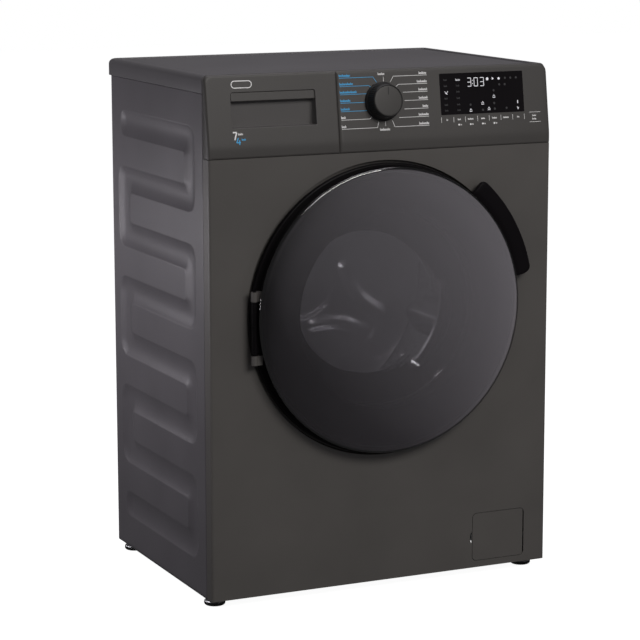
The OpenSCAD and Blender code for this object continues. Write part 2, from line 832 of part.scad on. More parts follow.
module tub_front() {
    mouth = opening_r + 2;
    color(tub_grey) difference() {
        union() {
            behind_front() rotate_extrude() polygon([
                [mouth, tub_setback - 8], [mouth + 4, tub_setback - 8], [mouth + 4, tub_setback],
                [tub_r, tub_setback], [tub_r, tub_split - 7], [tub_flange_r, tub_split - 7],
                [tub_flange_r, tub_split], [tub_r - tub_wall, tub_split],
                [tub_r - tub_wall, tub_setback + tub_wall], [mouth, tub_setback + tub_wall]
            ]);
            tub_spout(hose_x, sump_y + 34, true);
            tub_spout(sump_x, sump_y, false);
        }
        behind_front() translate([0, 0, tub_setback + tub_wall]) cylinder(r = tub_r - tub_wall, h = 60);
        translate([hose_x, sump_y + 34, door_z + 120]) cylinder(r = 10, h = 150);
        translate([sump_x, sump_y, door_z - 270]) cylinder(r = 10, h = 150);
    }
}

module tub_rear() {
    hub_r = bearing_r + 13;
    inner = tub_r - tub_wall;
    wall_in = tub_back - tub_wall - 3;
    color(tub_grey) difference() {
        union() {
            behind_front() rotate_extrude() polygon([
                [bearing_r, wall_in], [inner, wall_in], [inner, tub_split], [tub_flange_r, tub_split],
                [tub_flange_r, tub_split + 7], [tub_r, tub_split + 7], [tub_r, tub_back],
                [hub_r, tub_back], [hub_r, hub_back], [bearing_r, hub_back]
            ]);
            for (k = [0 : 11]) rotate_about_drum(15 + 30 * k)
                box([hub_r - 2, -2, tub_back - 1], [tub_r - 12, 2, tub_back + 12]);
            difference() {
                for (s = [-1, 1]) box([min(s * 190, s * (spring_x + 10)), spring_y - 12, lug_z - 8],
                    [max(s * 190, s * (spring_x + 10)), spring_y + 12, lug_z + 8]);
                behind_front() translate([0, 0, 10]) cylinder(r = tub_r - 2, h = body_d);
                behind_front() translate([0, 0, 10])
                    cylinder(r = tub_flange_r + soft_gap, h = tub_split - 10);
            }
        }
        for (x = [-25, 25]) behind_front() translate([x, drum_r + 8.5 - 1.3, wall_in - 1])
            cylinder(r = 3.6, h = 20);
    }
}

// Turns its children about the drum's axis, with local z as the depth behind the front panel.
module rotate_about_drum(angle) {
    behind_front() rotate([0, 0, angle]) children();
}

// Part of a ring-shaped ballast block, centred on one angle.
module counterweight(middle) {
    rotate_about_drum(-middle) rotate_extrude(angle = 132, start = -66) polygon([
        [opening_r + 30, tub_setback - 46], [tub_r - 10, tub_setback - 46], [tub_r - 2, tub_setback - 38],
        [tub_r - 2, tub_setback - 0.3], [opening_r + 30, tub_setback - 0.3]
    ]);
}

module counterweight_upper() {
    color(concrete) counterweight(90);
}

module counterweight_lower() {
    color(concrete) counterweight(-90);
}

module heater() {
    depth = drum_r + 7.2;
    front = drum_front_d + 20;
    color(zinc) {
        for (x = [-25, 25]) behind_front() translate([x, depth, front])
            cylinder(r = 3.5, h = tub_back + 12 - front);
        behind_front() translate([0, depth, front]) rotate([90, 0, 0])
            rotate_extrude(angle = 180, start = 180)
            translate([25, 0]) circle(3.5);
    }
}

module drum_bearings() {
    color(stainless) behind_front() {
        tube(bearing_r - 0.02, shaft_r + run_fit, tub_back - 6, tub_back + 8);
        tube(bearing_r - 0.02, shaft_r + run_fit, tub_back + 12, tub_back + 25);
    }
}

module shaft_seal() {
    color(jet) behind_front() tube(bearing_r - 0.02, shaft_r + 0.08, tub_back - 8, tub_back - 6.1);
}

module motor_housing() {
    front = tub_back - motor_len + 6;
    color(zinc) difference() {
        union() {
            behind_front(motor_z) translate([0, 0, front]) cylinder(r = motor_r, h = motor_len);
            behind_front(motor_z) translate([0, 0, front + motor_len]) cylinder(r = 20, h = 12);
            difference() {
                for (x = [-40, 26]) box([x, y_front + front + 20, motor_z + 20],
                    [x + 14, y_front + tub_back - 12, door_z - tub_r + 40]);
                behind_front() translate([0, 0, 100]) cylinder(r = tub_r + 0.1, h = body_d);
            }
        }
        behind_front(motor_z) translate([0, 0, front + 10]) cylinder(r = motor_r - 12, h = motor_len - 20);
        behind_front(motor_z) translate([0, 0, front + 20])
            cylinder(r = motor_shaft_r + run_fit, h = motor_len);
    }
}

module motor_rotor() {
    front = tub_back - motor_len + 6;
    color(stainless) behind_front(motor_z) {
        translate([0, 0, front + 22]) cylinder(r = motor_shaft_r, h = pulley_d + pulley_t - front - 22);
        translate([0, 0, front + 24]) cylinder(r = motor_r - 14, h = motor_len - 48);
        translate([0, 0, pulley_d]) cylinder(r = motor_pulley_r, h = pulley_t);
    }
}

module belt_outline(extra) {
    hull() {
        circle(pulley_r + extra);
        translate([0, door_z - motor_z]) circle(motor_pulley_r + extra);
    }
}

module drive_belt() {
    color(jet) behind_front() translate([0, 0, pulley_d + 2]) linear_extrude(pulley_t - 4) difference() {
        belt_outline(3.3);
        belt_outline(0.3);
    }
}

// ---- drum ----

module drum_shell() {
    color(stainless) behind_front()
        tube(drum_r, drum_r - drum_sheet, drum_front_d + drum_sheet, drum_back_d - drum_sheet);
}

module drum_front() {
    lip = drum_r - 16;
    color(stainless) behind_front() rotate_extrude() polygon([
        [mouth_r, drum_front_d - 4], [mouth_r + 6, drum_front_d - 6], [lip, drum_front_d - 6],
        [drum_r, drum_front_d], [drum_r, drum_front_d + drum_sheet], [lip, drum_front_d - 6 + drum_sheet],
        [mouth_r + 6, drum_front_d - 6 + drum_sheet], [mouth_r + 1, drum_front_d + 4],
            [mouth_r, drum_front_d + 4]
    ]);
}

module drum_back() {
    color(stainless) behind_front() difference() {
        union() {
            translate([0, 0, drum_back_d - drum_sheet]) cylinder(r = drum_r, h = drum_sheet);
            translate([0, 0, drum_back_d - 12]) cylinder(r1 = 62, r2 = 80, h = 12);
        }
        translate([0, 0, drum_back_d - 12 + drum_sheet]) cylinder(r1 = 62 - drum_sheet, r2 = 80, h = 12);
    }
}

module drum_lifters() {
    base = drum_r - drum_sheet - 0.05;
    color(stainless) for (k = [0 : lifters - 1]) rotate_about_drum(18 + 360 / lifters * k) intersection() {
        translate([0, 0, drum_front_d + 18]) linear_extrude(drum_back_d - drum_front_d - 36) polygon([
            [base + 2, -34], [base - lifter_h + 8, -9], [base - lifter_h, 0], [base - lifter_h + 8, 9],
                [base + 2, 34]
        ]);
        translate([0, 0, drum_front_d]) cylinder(r = base, h = drum_back_d - drum_front_d);
    }
}

module drum_spider() {
    color(zinc) behind_front() {
        translate([0, 0, drum_back_d + 0.2]) tube(34, shaft_r, 0, 9);
        for (k = [0 : 2]) rotate([0, 0, 60 + 120 * k])
            box([33, -13, drum_back_d + 0.2], [drum_r - 4, 13, drum_back_d + 9]);
    }
}

module drum_shaft() {
    color(stainless) behind_front() {
        translate([0, 0, drum_back_d + 0.2]) cylinder(r = shaft_r, h = pulley_d + pulley_t - drum_back_d);
        translate([0, 0, pulley_d + pulley_t]) cylinder(r = 11, h = 5, $fn = 6);
    }
}

module drum_pulley() {
    color(zinc) behind_front() difference() {
        translate([0, 0, pulley_d]) cylinder(r = pulley_r, h = pulley_t);
        translate([0, 0, pulley_d - 1]) cylinder(r = shaft_r, h = pulley_t + 2);
        for (k = [0 : 5]) rotate([0, 0, 60 * k + 30]) translate([pulley_r * 0.58, 0, pulley_d - 1])
            cylinder(r = pulley_r * 0.23, h = pulley_t + 2);
    }
}

// ---- door ----

module door_gasket() {
    neck = opening_r + sheet;
    mouth = opening_r + 2 + 4;
    lip_r = bowl_r_at(38) + soft_gap + 0.1;
    color(rubber_grey) behind_front() rotate_extrude() polygon([
        [neck + 0.2, recess_depth + sheet + 1.5], [neck + 4, recess_depth + sheet + 1.5],
        [neck + 4, neck_depth + 3], [neck + 19, neck_depth + 10], [neck + 22, neck_depth + 24],
        [mouth + 10, tub_setback - 15], [mouth + 10, tub_setback - 9],
        [mouth + 4, tub_setback - 4], [mouth + 4, tub_setback - 0.4], [mouth + soft_gap, tub_setback - 0.4],
        [mouth + soft_gap, tub_setback - 8.4], [mouth + 6, tub_setback - 13],
        [neck + 18, neck_depth + 24], [neck + 15, neck_depth + 13],
        [neck - 4, neck_depth + 5], [lip_r + 2.6, 42], [lip_r - 0.2, 41],
        [lip_r + 0.4, 37], [neck - 7.4, neck_depth + 1], [neck - 6.4, neck_depth - 1],
        [neck - 4, recess_depth + 3], [neck - sheet - 0.2, recess_depth + 3],
        [neck - sheet - 0.2, neck_depth + 0.2], [neck + 0.2, neck_depth + 0.2]
    ]);
}

module gasket_band() {
    r = opening_r + sheet + 4.1;
    color(zinc) {
        behind_front() tube(r + 2, r, recess_depth + 4, recess_depth + 9);
        translate([0, y_front + recess_depth + 6.5, door_z - r - 6]) rotate([0, 90, 0])
            cylinder(r = 3.5, h = 30, center = true);
    }
}

// Outer radius of the bowl's wall at one depth: a shallow cone, then a steeper one.
function bowl_r_at(d) = d < 40 ? 154 - 7 * (d - 3) / 37 : 147 - 25 * (d - 40) / (bowl_depth - 53);

module door_glass() {
    in_t = glass_t;
    low = bowl_depth - 13;
    color([0.75, 0.8, 0.8, 0.4]) behind_front() rotate_extrude() polygon([
        [bowl_r_at(3) - in_t, bowl_seat], [163.5, bowl_seat], [163.5, bowl_seat + 2],
        [bowl_r_at(4), bowl_seat + 2.2], [bowl_r_at(40), 40], [bowl_r_at(low), low],
        [bowl_r_at(low) - 20, bowl_depth - 3], [0, bowl_depth], [0, bowl_depth - in_t],
        [bowl_r_at(low) - 22, bowl_depth - 3 - in_t], [bowl_r_at(low) - in_t, low - 3],
        [bowl_r_at(40) - in_t, 38]
    ]);
}

module door_ring() {
    color(jet) handle_posts();
    color(jet) difference() {
        proud_of_front() rotate_extrude() polygon([
            [ring_in_r, -1], [ring_r, -1], [ring_r, ring_base - 1.5], [ring_r - 2, ring_base],
            [217, ring_base], [217, disc_back], [213, disc_back], [213, 3],
            [ring_in_r + 4, 3], [ring_in_r + 4, disc_back], [ring_in_r, disc_back]
        ]);
        box([-half_w, y_front - 30, hinge_z - knuckle_gap / 2 - knuckle_len / 2 - 1.5],
            [-217.5, y_front + 5, hinge_z + knuckle_gap / 2 + knuckle_len / 2 + 1.5]);
        proud_of_front() rotate([0, 0, handle_angle - handle_sweep / 2 - 1.5])
            rotate_extrude(angle = handle_sweep + 3) translate([217.2, 2]) square([20, 20]);
        on_handle() box([216.6, -10, -3], [229, 10, 5]);
    }
}

// The posts that hold the handle's pivot pin, one on each side of its middle.
module handle_posts() {
    for (s = [-1, 1]) on_handle() difference() {
        box([217.2, s * 22 - 3, 2], [pivot_r + 4, s * 22 + 3, pivot_proud + 4]);
        translate([pivot_r, s * 22 - 4, pivot_proud]) rotate([-90, 0, 0])
            cylinder(r = handle_pin_r + run_fit, h = 8);
    }
}

module door_disc() {
    color([0.12, 0.12, 0.13, 0.8]) proud_of_front() rotate_extrude() polygon([
        [0, disc_back], [disc_r - 2, disc_back], [disc_r, disc_back + 1.2], [disc_r, door_proj - 3],
        [disc_r - 2, door_proj - 1], [disc_r * 0.6, door_proj - 0.3], [0, door_proj]
    ]);
}

module door_inner_frame() {
    color(jet) behind_front() rotate_extrude() polygon([
        [ring_in_r - 1, bowl_seat + 2.2], [ring_in_r - 1, recess_depth - 1.5], [210, recess_depth - 1.5],
        [212, recess_depth - 3.5], [212, 1.1], [165, 1.1], [165, bowl_seat + 2.2]
    ]);
}

module door_hinge_leaf() {
    half = knuckle_gap / 2 - knuckle_len / 2 - 1;
    color(zinc) difference() {
        union() {
            translate([-hinge_x, y_front - hinge_proud, hinge_z - half])
                cylinder(r = knuckle_r, h = 2 * half);
            translate([-hinge_x, y_front - hinge_proud, hinge_z - half - knuckle_len - 2])
                cylinder(r = hinge_pin_r, h = 2 * (half + knuckle_len + 2));
            box([-hinge_x, y_front - hinge_proud - 3.5, hinge_z - half + 4],
                [-205, y_front - hinge_proud + 3.5, hinge_z + half - 4]);
        }
        proud_of_front() cylinder(r = 217.05, h = 40);
    }
}

module hinge_bracket() {
    color(front_grey) for (s = [-1, 1]) translate([0, 0, hinge_z + s * knuckle_gap / 2 - knuckle_len / 2])
        difference() {
        union() {
            translate([-hinge_x, y_front - hinge_proud, 0]) cylinder(r = knuckle_r, h = knuckle_len);
            box([-hinge_x, y_front - hinge_proud - 3, 0], [-218.5, y_front - hinge_proud + 4, knuckle_len]);
            box([-225, y_front - hinge_proud, 0], [-218.5, y_front + recess_depth, knuckle_len]);
        }
        translate([-hinge_x, y_front - hinge_proud, -1])
            cylinder(r = hinge_pin_r + run_fit, h = knuckle_len + 2);
    }
}

module door_handle() {
    half = handle_sweep / 2;
    color(jet) {
        difference() {
            proud_of_front() rotate([0, 0, handle_angle - half]) rotate_extrude(angle = handle_sweep)
                polygon([
                [pivot_r - 2, 5.5], [236, 5.5], [241, 13], [handle_r - 3, 13], [handle_r, 15.5],
                [handle_r, handle_proud - 2.5], [handle_r - 3, handle_proud], [238, handle_proud],
                [229, handle_proud - 2], [pivot_r - 2, handle_proud - 8]
            ]);
            for (s = [-1, 1]) on_handle() rotate([0, 0, s * half])
                translate([handle_r, 0, 0]) rotate([0, 0, s * 45]) translate([-7, s * 8 - 8, 0])
                    cube([40, 16, 60]);
            for (s = [-1, 1]) on_handle()
                box([pivot_r - 6, s * 22 - 3.8, -1], [pivot_r + 6, s * 22 + 3.8, pivot_proud + 6]);
        }
        on_handle() translate([pivot_r, -29, pivot_proud]) rotate([-90, 0, 0])
            cylinder(r = handle_pin_r, h = 58);
    }
}

module latch_hook() {
    color(zinc) on_handle() {
        box([pivot_r - 2, -7, -20], [pivot_r + 2, 7, 5.5]);
        box([pivot_r - 8, -7, -20], [pivot_r - 2, 7, -14]);
    }
}

module door_lock() {
    color(jet) on_handle() difference() {
        box([pivot_r - 18, -19, -recess_depth - sheet - 18.5],
            [pivot_r + 14, 19, -recess_depth - sheet - 0.2]);
        box([pivot_r - 12, -12, -recess_depth - sheet - 15.5], [pivot_r + 11, 12, -recess_depth]);
    }
}

// ---- feet ----

module lock_nuts() {
    color(zinc) at_feet() difference() {
        translate([0, 0, foot_h + 0.5]) cylinder(r = 10, h = floor_gap - foot_h - 0.5, $fn = 6);
        cylinder(r = stud_r + run_fit, h = 30);
    }
}

module adjustable_foot(x, y) {
    color(jet) translate([x, y, 0]) {
        cylinder(r1 = foot_r - 1.5, r2 = foot_r, h = 2);
        translate([0, 0, 2]) cylinder(r = foot_r, h = foot_h - 4);
        translate([0, 0, foot_h - 2]) cylinder(r1 = foot_r, r2 = foot_r - 3, h = 2);
        translate([0, 0, 1]) cylinder(r = stud_r, h = 44);
    }
}

module foot_front_left() {
    adjustable_foot(-half_w + foot_inset, y_front + foot_front);
}

module foot_front_right() {
    adjustable_foot(half_w - foot_inset, y_front + foot_front);
}

module foot_rear_left() {
    adjustable_foot(-half_w + foot_inset, y_rear - foot_rear);
}

module foot_rear_right() {
    adjustable_foot(half_w - foot_inset, y_rear - foot_rear);
}

left_side_panel();
right_side_panel();
front_panel();
rear_panel();
base_frame();
top_crossbars();
worktop_frame();
worktop_board();
control_fascia();
display_window();
control_board();
dispenser_housing();
inlet_valve();
fill_hose();
drain_hose();
cable_gland();
door_lock();
hinge_bracket();
door_gasket();
gasket_band();
drain_pump();
filter_housing();
tub_hoses();
suspension_springs();
dampers();
lock_nuts();
tub_front();
tub_rear();
counterweight_upper();
counterweight_lower();
heater();
drum_bearings();
shaft_seal();
motor_housing();
drive_belt();
drum_shell();
drum_front();
drum_back();
drum_lifters();
drum_spider();
drum_shaft();
drum_pulley();
motor_rotor();
door_ring();
door_disc();
door_inner_frame();
door_glass();
door_hinge_leaf();
door_handle();
latch_hook();
drawer_front();
drawer_tray();
siphon_cap();
programme_knob();
filter_flap();
filter_cap();
foot_front_left();
foot_front_right();
foot_rear_left();
foot_rear_right();
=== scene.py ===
# %% [markdown]
# # A front load washing machine
#
# The machine is built here piece by piece, over a packed engineering model that already holds every
# true size. The model is loaded first and stays as it is. Pieces whose shape is right get a better
# finish, and pieces that need softer edges, folds or coils are made again as new surfaces.
# Everything is in metres, with +X to the right, +Y to the rear and +Z up.

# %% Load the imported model
import math

import bmesh
import bpy
import numpy as np
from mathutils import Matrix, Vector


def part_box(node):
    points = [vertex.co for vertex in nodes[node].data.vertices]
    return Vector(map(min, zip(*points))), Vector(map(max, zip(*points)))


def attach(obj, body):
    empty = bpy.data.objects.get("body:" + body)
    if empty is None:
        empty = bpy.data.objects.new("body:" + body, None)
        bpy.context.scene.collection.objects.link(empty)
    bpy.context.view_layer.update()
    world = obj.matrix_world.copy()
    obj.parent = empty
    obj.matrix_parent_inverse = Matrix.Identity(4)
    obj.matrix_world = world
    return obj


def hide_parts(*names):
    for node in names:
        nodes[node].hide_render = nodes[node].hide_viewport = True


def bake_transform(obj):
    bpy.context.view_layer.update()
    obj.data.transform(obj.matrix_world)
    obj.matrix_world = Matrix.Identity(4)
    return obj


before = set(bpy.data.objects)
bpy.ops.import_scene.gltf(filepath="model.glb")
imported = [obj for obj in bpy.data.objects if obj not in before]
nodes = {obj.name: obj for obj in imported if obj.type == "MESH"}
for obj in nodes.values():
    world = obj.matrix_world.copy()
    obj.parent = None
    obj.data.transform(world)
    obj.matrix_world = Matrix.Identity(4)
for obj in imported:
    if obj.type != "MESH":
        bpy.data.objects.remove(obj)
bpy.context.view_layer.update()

# %% [markdown]
# ## The sizes that the new pieces share
#
# A new piece has to sit exactly where the model's own piece sits, so the main planes and radii are
# read from the model's boxes. They are written in millimetres, as on a drawing, and turned into
# metres when a mesh is made.

# %% Read the main planes from the model
MM = 0.001


def box_mm(node):
    """Lowest and highest corner of a node, in millimetres."""
    low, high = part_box(node)
    return np.array(low) / MM, np.array(high) / MM


panel_low = box_mm("front_panel")[0]
side_low, side_high = box_mm("right_side_panel")
top_low, top_high = box_mm("worktop_frame")
disc_low, disc_high = box_mm("door_disc")
drum_low, drum_high = box_mm("drum_shell")
FRONT = panel_low[1]
HALF_W = side_high[0]
TOP = top_high[2]
RIM_UNDER = top_low[2]
DOOR_Z = (disc_low[2] + disc_high[2]) / 2
DISC_R = (disc_high[2] - disc_low[2]) / 2
PROUD = FRONT - disc_low[1]
print("front at", round(FRONT, 1), "door centre at", round(DOOR_Z, 1), "disc radius", round(DISC_R, 1))

# %% [markdown]
# ## The camera
#
# The camera stands to the left of the machine, a little above it, and far back with a long lens, so
# that upright edges stay nearly parallel. It could be aimed with a constraint, but plain angles are
# easier to read and leave nothing behind in the file.

# %% Camera
camera_data = bpy.data.cameras.new("camera")
camera_data.lens = 136.37
camera_data.sensor_width = 36
camera_data.clip_end = 50
LOOKING_DOWN, ROLLED, TURNED_RIGHT = 10.295, 0.076, 24.989
camera = bpy.data.objects.new("camera", camera_data)
bpy.context.scene.collection.objects.link(camera)
camera.location = (-1.6925, -3.5959, 1.1321)
camera.rotation_euler = np.radians((90 - LOOKING_DOWN, ROLLED, -TURNED_RIGHT))
bpy.context.scene.camera = camera
print("camera", tuple(round(v, 3) for v in camera.location))

# %% [markdown]
# ## Floor and light
#
# The machine stands in a plain pale studio. A long narrow soft box lies close to the left side, at
# half height. It grazes the pressed channel, so the slopes above and below it catch the light in
# turn. A wide soft box overhead lights the worktop, and a third, high in front, lights the front
# evenly. A small lamp inside the drum lets its steel show through the door. A bright sky would be
# simpler, but it would flatten the channel, so the world stays dim as a light.


# %% Helper: a node in a material's tree
def node(tree, kind, inputs=None, **settings):
    """Adds a node, sets its own settings, and sets or links its inputs."""
    made = tree.nodes.new(kind)
    for key, value in settings.items():
        setattr(made, key, value)
    for key, value in (inputs or {}).items():
        if isinstance(value, bpy.types.NodeSocket):
            tree.links.new(value, made.inputs[key])
        else:
            made.inputs[key].default_value = value
    return made


print("helper ready:", node.__name__)

# %% World: white to look at, dim as a light
world = bpy.data.worlds.new("studio")
bpy.context.scene.world = world
world.use_nodes = True
tree = world.node_tree
tree.nodes.clear()
sight = node(tree, "ShaderNodeLightPath")
level = node(tree, "ShaderNodeMapRange", {0: sight.outputs["Is Glossy Ray"], 3: 0.18, 4: 0.08}).outputs[0]
dim = node(tree, "ShaderNodeBackground", {"Color": (0.93, 0.92, 0.95, 1), "Strength": level})
white = node(tree, "ShaderNodeBackground", {"Color": (1, 1, 1, 1), "Strength": 1.0})
mixed = node(tree, "ShaderNodeMixShader", {0: sight.outputs["Is Camera Ray"], 1: dim.outputs[0],
                                           2: white.outputs[0]})
node(tree, "ShaderNodeOutputWorld", {"Surface": mixed.outputs[0]})
bpy.context.scene.view_settings.view_transform = "Standard"
print("world ready")


# %% Soft boxes
def soft_box(name, place, aim, width, height, watts, colour=(1, 1, 1)):
    """A rectangular area light at one point, turned to look at another."""
    data = bpy.data.lights.new(name, "AREA")
    data.shape, data.size, data.size_y = "RECTANGLE", width, height
    data.energy, data.color = watts, colour
    light = bpy.data.objects.new(name, data)
    bpy.context.scene.collection.objects.link(light)
    light.location = place
    way = np.array(aim) - np.array(place)
    light.rotation_euler = (math.pi - math.acos(way[2] / np.linalg.norm(way)), 0, math.atan2(-way[0], way[1]))
    return light


side_box = soft_box("side_box", (-0.87, 0.33, 0.49), (0.0, 0.33, 0.49), 1.15, 0.10, 2.8, (0.98, 0.94, 1.0))
soft_box("top_box", (0.1, 0.3, 3.0), (0.0, 0.0, 0.8), 2.4, 2.4, 30, (0.98, 0.95, 1.0))
soft_box("front_box", (0.5, -3.6, 2.7), (0.0, -0.2, 0.42), 2.2, 1.4, 80, (1.0, 0.97, 0.95))
drum_lamp = soft_box("drum_lamp", (-0.06, -0.080, 0.600), (0.04, 0.13, 0.43), 0.10, 0.05, 0.32)
side_box.visible_camera = drum_lamp.visible_camera = False

# %% [markdown]
# ## A card for the door to mirror
#
# A dark glossy door shows little of its own colour, and what is seen on it is its surroundings. In a
# studio a pale card is stood beside the camera for that. Here it is a sheet whose glow rises from its
# lower left corner to its upper right one. A lamp would do too, but only glossy rays see this card,
# so it lights nothing else.


# %% Helper: a flat sheet, and the card made of it
def sheet_of_points(name, corner, across, up, columns, rows):
    """A flat sheet: a corner plus a share of two directions."""
    a, b = np.meshgrid(np.linspace(0, 1, columns), np.linspace(0, 1, rows), indexing="ij")
    points = np.array(corner) + a[..., None] * np.array(across) + b[..., None] * np.array(up)
    cell = np.arange(columns - 1)[:, None] * rows + np.arange(rows - 1)[None, :]
    faces = np.stack([cell, cell + rows, cell + rows + 1, cell + 1], axis=-1).reshape(-1, 4)
    mesh = bpy.data.meshes.new(name)
    mesh.from_pydata(points.reshape(-1, 3).tolist(), [], faces.tolist())
    made = bpy.data.objects.new(name, mesh)
    bpy.context.scene.collection.objects.link(made)
    return made


CARD_SIDE = 1.4
card = sheet_of_points("mirror_card", (0.44, -2.5, -0.69), (CARD_SIDE, 0, 0), (0, 0, CARD_SIDE), 8, 8)
card_light = bpy.data.materials.new("card_light")
card_light.use_nodes = True
tree = card_light.node_tree
tree.nodes.clear()
place = node(tree, "ShaderNodeTexCoord").outputs["Object"]
rise = node(tree, "ShaderNodeVectorMath", {0: place, 1: (1, 0, 1)}, operation="DOT_PRODUCT").outputs["Value"]
ramp = node(tree, "ShaderNodeMapRange", {0: rise, 1: 0.72, 2: 1.76, 3: 0.07, 4: 0.52}).outputs[0]
glow = node(tree, "ShaderNodeEmission", {"Color": (0.98, 0.94, 1.0, 1), "Strength": ramp})
node(tree, "ShaderNodeOutputMaterial", {"Surface": glow.outputs[0]})
card.data.materials.append(card_light)
card.visible_camera = card.visible_diffuse = card.visible_shadow = False
card.visible_transmission = False
print("card", CARD_SIDE, "m square")

# %% [markdown]
# ## The floor
#
# The floor is a sheet of pale paper. Most of its brightness is its own glow, which keeps it even and
# nearly white, and a weak matt share takes the faint shadow under the machine. It is hidden from
# reflections and from scattered light, so it doesn't brighten the machine from below.

# %% Floor
studio_floor = sheet_of_points("studio_floor", (-12, -12, 0), (24, 0, 0), (0, 24, 0), 13, 13)
floor_paper = bpy.data.materials.new("floor_paper")
floor_paper.use_nodes = True
tree = floor_paper.node_tree
tree.nodes.clear()
glow = node(tree, "ShaderNodeEmission", {"Color": (1, 1, 1, 1), "Strength": 0.95})
matt = node(tree, "ShaderNodeBsdfDiffuse", {"Color": (0.35, 0.35, 0.35, 1)})
both = node(tree, "ShaderNodeAddShader", {0: glow.outputs[0], 1: matt.outputs[0]})
node(tree, "ShaderNodeOutputMaterial", {"Surface": both.outputs[0]})
studio_floor.data.materials.append(floor_paper)
studio_floor.visible_diffuse = studio_floor.visible_glossy = studio_floor.visible_transmission = False
print("floor", len(studio_floor.data.polygons), "faces")

# %% [markdown]
# ## Finishes
#
# Every finish starts from one recipe: a base colour that drifts slightly over the piece, a fine
# grain that roughens it, and a bump that gives the surface its feel. Paint has orange peel, moulded
# plastic a fine spark-eroded grain, zinc a crystalline spangle, and brushed steel long scratches.


# %% Helper: the shared recipe
def finish(name, colour, roughness, grain=500.0, bump=0.1, drift=0.08, depth=0.0002, stretch=(1, 1, 1),
           **plain):
    """A Principled finish. The colour is multiplied by slow noise within one plus or minus the drift,
    the roughness varies by a tenth, and fine noise of the given grain (per metre) drives the bump."""
    material = bpy.data.materials.new(name)
    material.use_nodes = True
    tree = material.node_tree
    shader = tree.nodes["Principled BSDF"]
    for key, value in plain.items():
        shader.inputs[key.replace("_", " ")].default_value = value
    place = node(tree, "ShaderNodeTexCoord").outputs["Object"]
    scaled = node(tree, "ShaderNodeMapping", {"Vector": place, "Scale": stretch}).outputs[0]
    slow = node(tree, "ShaderNodeTexNoise", {"Vector": place, "Scale": 7.0, "Detail": 3.0}).outputs[0]
    fine = node(tree, "ShaderNodeTexNoise", {"Vector": scaled, "Scale": grain, "Detail": 2.0}).outputs[0]
    tone = node(tree, "ShaderNodeMapRange", {0: slow, 1: 0.3, 2: 0.7, 3: 1 - drift, 4: 1 + drift}).outputs[0]
    tint = node(tree, "ShaderNodeVectorMath", {0: (*colour,), 3: tone}, operation="SCALE").outputs[0]
    tree.links.new(tint, shader.inputs["Base Color"])
    smooth, coarse = roughness * 0.9, roughness * 1.1
    rough = node(tree, "ShaderNodeMapRange", {0: fine, 1: 0.25, 2: 0.75, 3: smooth, 4: coarse}).outputs[0]
    tree.links.new(rough, shader.inputs["Roughness"])
    relief = node(tree, "ShaderNodeBump", {"Strength": bump, "Distance": depth, "Height": fine}).outputs[0]
    tree.links.new(relief, shader.inputs["Normal"])
    return material


print("recipe ready:", finish.__name__)

# %% Paints and plastics
side_paint = finish("side_paint", (0.100, 0.094, 0.102), 0.44, grain=420, bump=0.22)
# Painted shade: the front uses the sides' paint again, coloured darker and warmer to match how the front
# looks under the lights.
front_paint = finish("front_paint", (0.0890, 0.0840, 0.0785), 0.46, grain=460, bump=0.20)
worktop_laminate = finish("worktop_laminate", (0.094, 0.090, 0.095), 0.52, grain=1500, bump=0.30, drift=0.05)
fascia_plastic = finish("fascia_plastic", (0.0530, 0.0500, 0.0470), 0.48, grain=1300, bump=0.22, drift=0.05)
# Painted light: the grip's recess uses the drawer front's plastic again, coloured lighter so that its walls
# and back look lit.
recess_painted_light = finish("recess_painted_light", (0.088, 0.084, 0.083), 0.55, grain=1300, bump=0.22, drift=0.05)
door_black = finish("door_black", (0.0045, 0.004, 0.0045), 0.36, grain=700, bump=0.04, drift=0.15,
                    Specular_IOR_Level=0.08)
handle_black = finish("handle_black", (0.0065, 0.0055, 0.0065), 0.42, grain=1600, bump=0.2, drift=0.10,
                      Specular_IOR_Level=0.05)
display_black = finish("display_black", (0.0075, 0.0065, 0.0075), 0.16, grain=300, bump=0.01, drift=0.10,
                       Specular_IOR_Level=0.2)
knob_black = finish("knob_black", (0.010, 0.010, 0.010), 0.40, grain=1400, bump=0.18, Specular_IOR_Level=0.3)
knob_grey = finish("knob_grey", (0.046, 0.044, 0.041), 0.42, grain=1400, bump=0.15)
black_plastic = finish("black_plastic", (0.020, 0.020, 0.021), 0.50, grain=1100, bump=0.3)
white_plastic = finish("white_plastic", (0.74, 0.74, 0.72), 0.38, grain=1000, bump=0.12, drift=0.03)
blue_plastic = finish("blue_plastic", (0.06, 0.20, 0.48), 0.30, grain=1000, bump=0.1)
tub_plastic = finish("tub_plastic", (0.30, 0.33, 0.35), 0.55, grain=600, bump=0.3)
circuit_green = finish("circuit_green", (0.015, 0.10, 0.04), 0.35, grain=900, bump=0.3, drift=0.25)
print("materials so far:", len(bpy.data.materials))

# %% Rubbers, metals, concrete and inks
gasket_rubber = finish("gasket_rubber", (0.085, 0.088, 0.092), 0.58, grain=900, bump=0.35, drift=0.12)
hose_rubber = finish("hose_rubber", (0.022, 0.022, 0.022), 0.62, grain=800, bump=0.4, drift=0.15)
foot_rubber = finish("foot_rubber", (0.010, 0.010, 0.010), 0.60, grain=900, bump=0.5, drift=0.2)
zinc_steel = finish("zinc_steel", (0.55, 0.56, 0.57), 0.33, grain=160, bump=0.10, drift=0.16, Metallic=1.0)
stainless = finish("stainless", (0.52, 0.52, 0.53), 0.24, grain=900, bump=0.16, stretch=(0.05, 1, 1),
                   Metallic=1.0)
cast_aluminium = finish("cast_aluminium", (0.50, 0.50, 0.51), 0.48, grain=700, bump=0.5, drift=0.1,
                        Metallic=1.0)
concrete = finish("concrete", (0.34, 0.33, 0.30), 0.85, grain=330, bump=0.8, drift=0.2, depth=0.001)
ink_white = finish("ink_white", (0.90, 0.90, 0.90), 0.55, grain=900, bump=0.1, drift=0.04)
ink_blue = finish("ink_blue", (0.05, 0.42, 0.80), 0.55, grain=900, bump=0.1, drift=0.04)
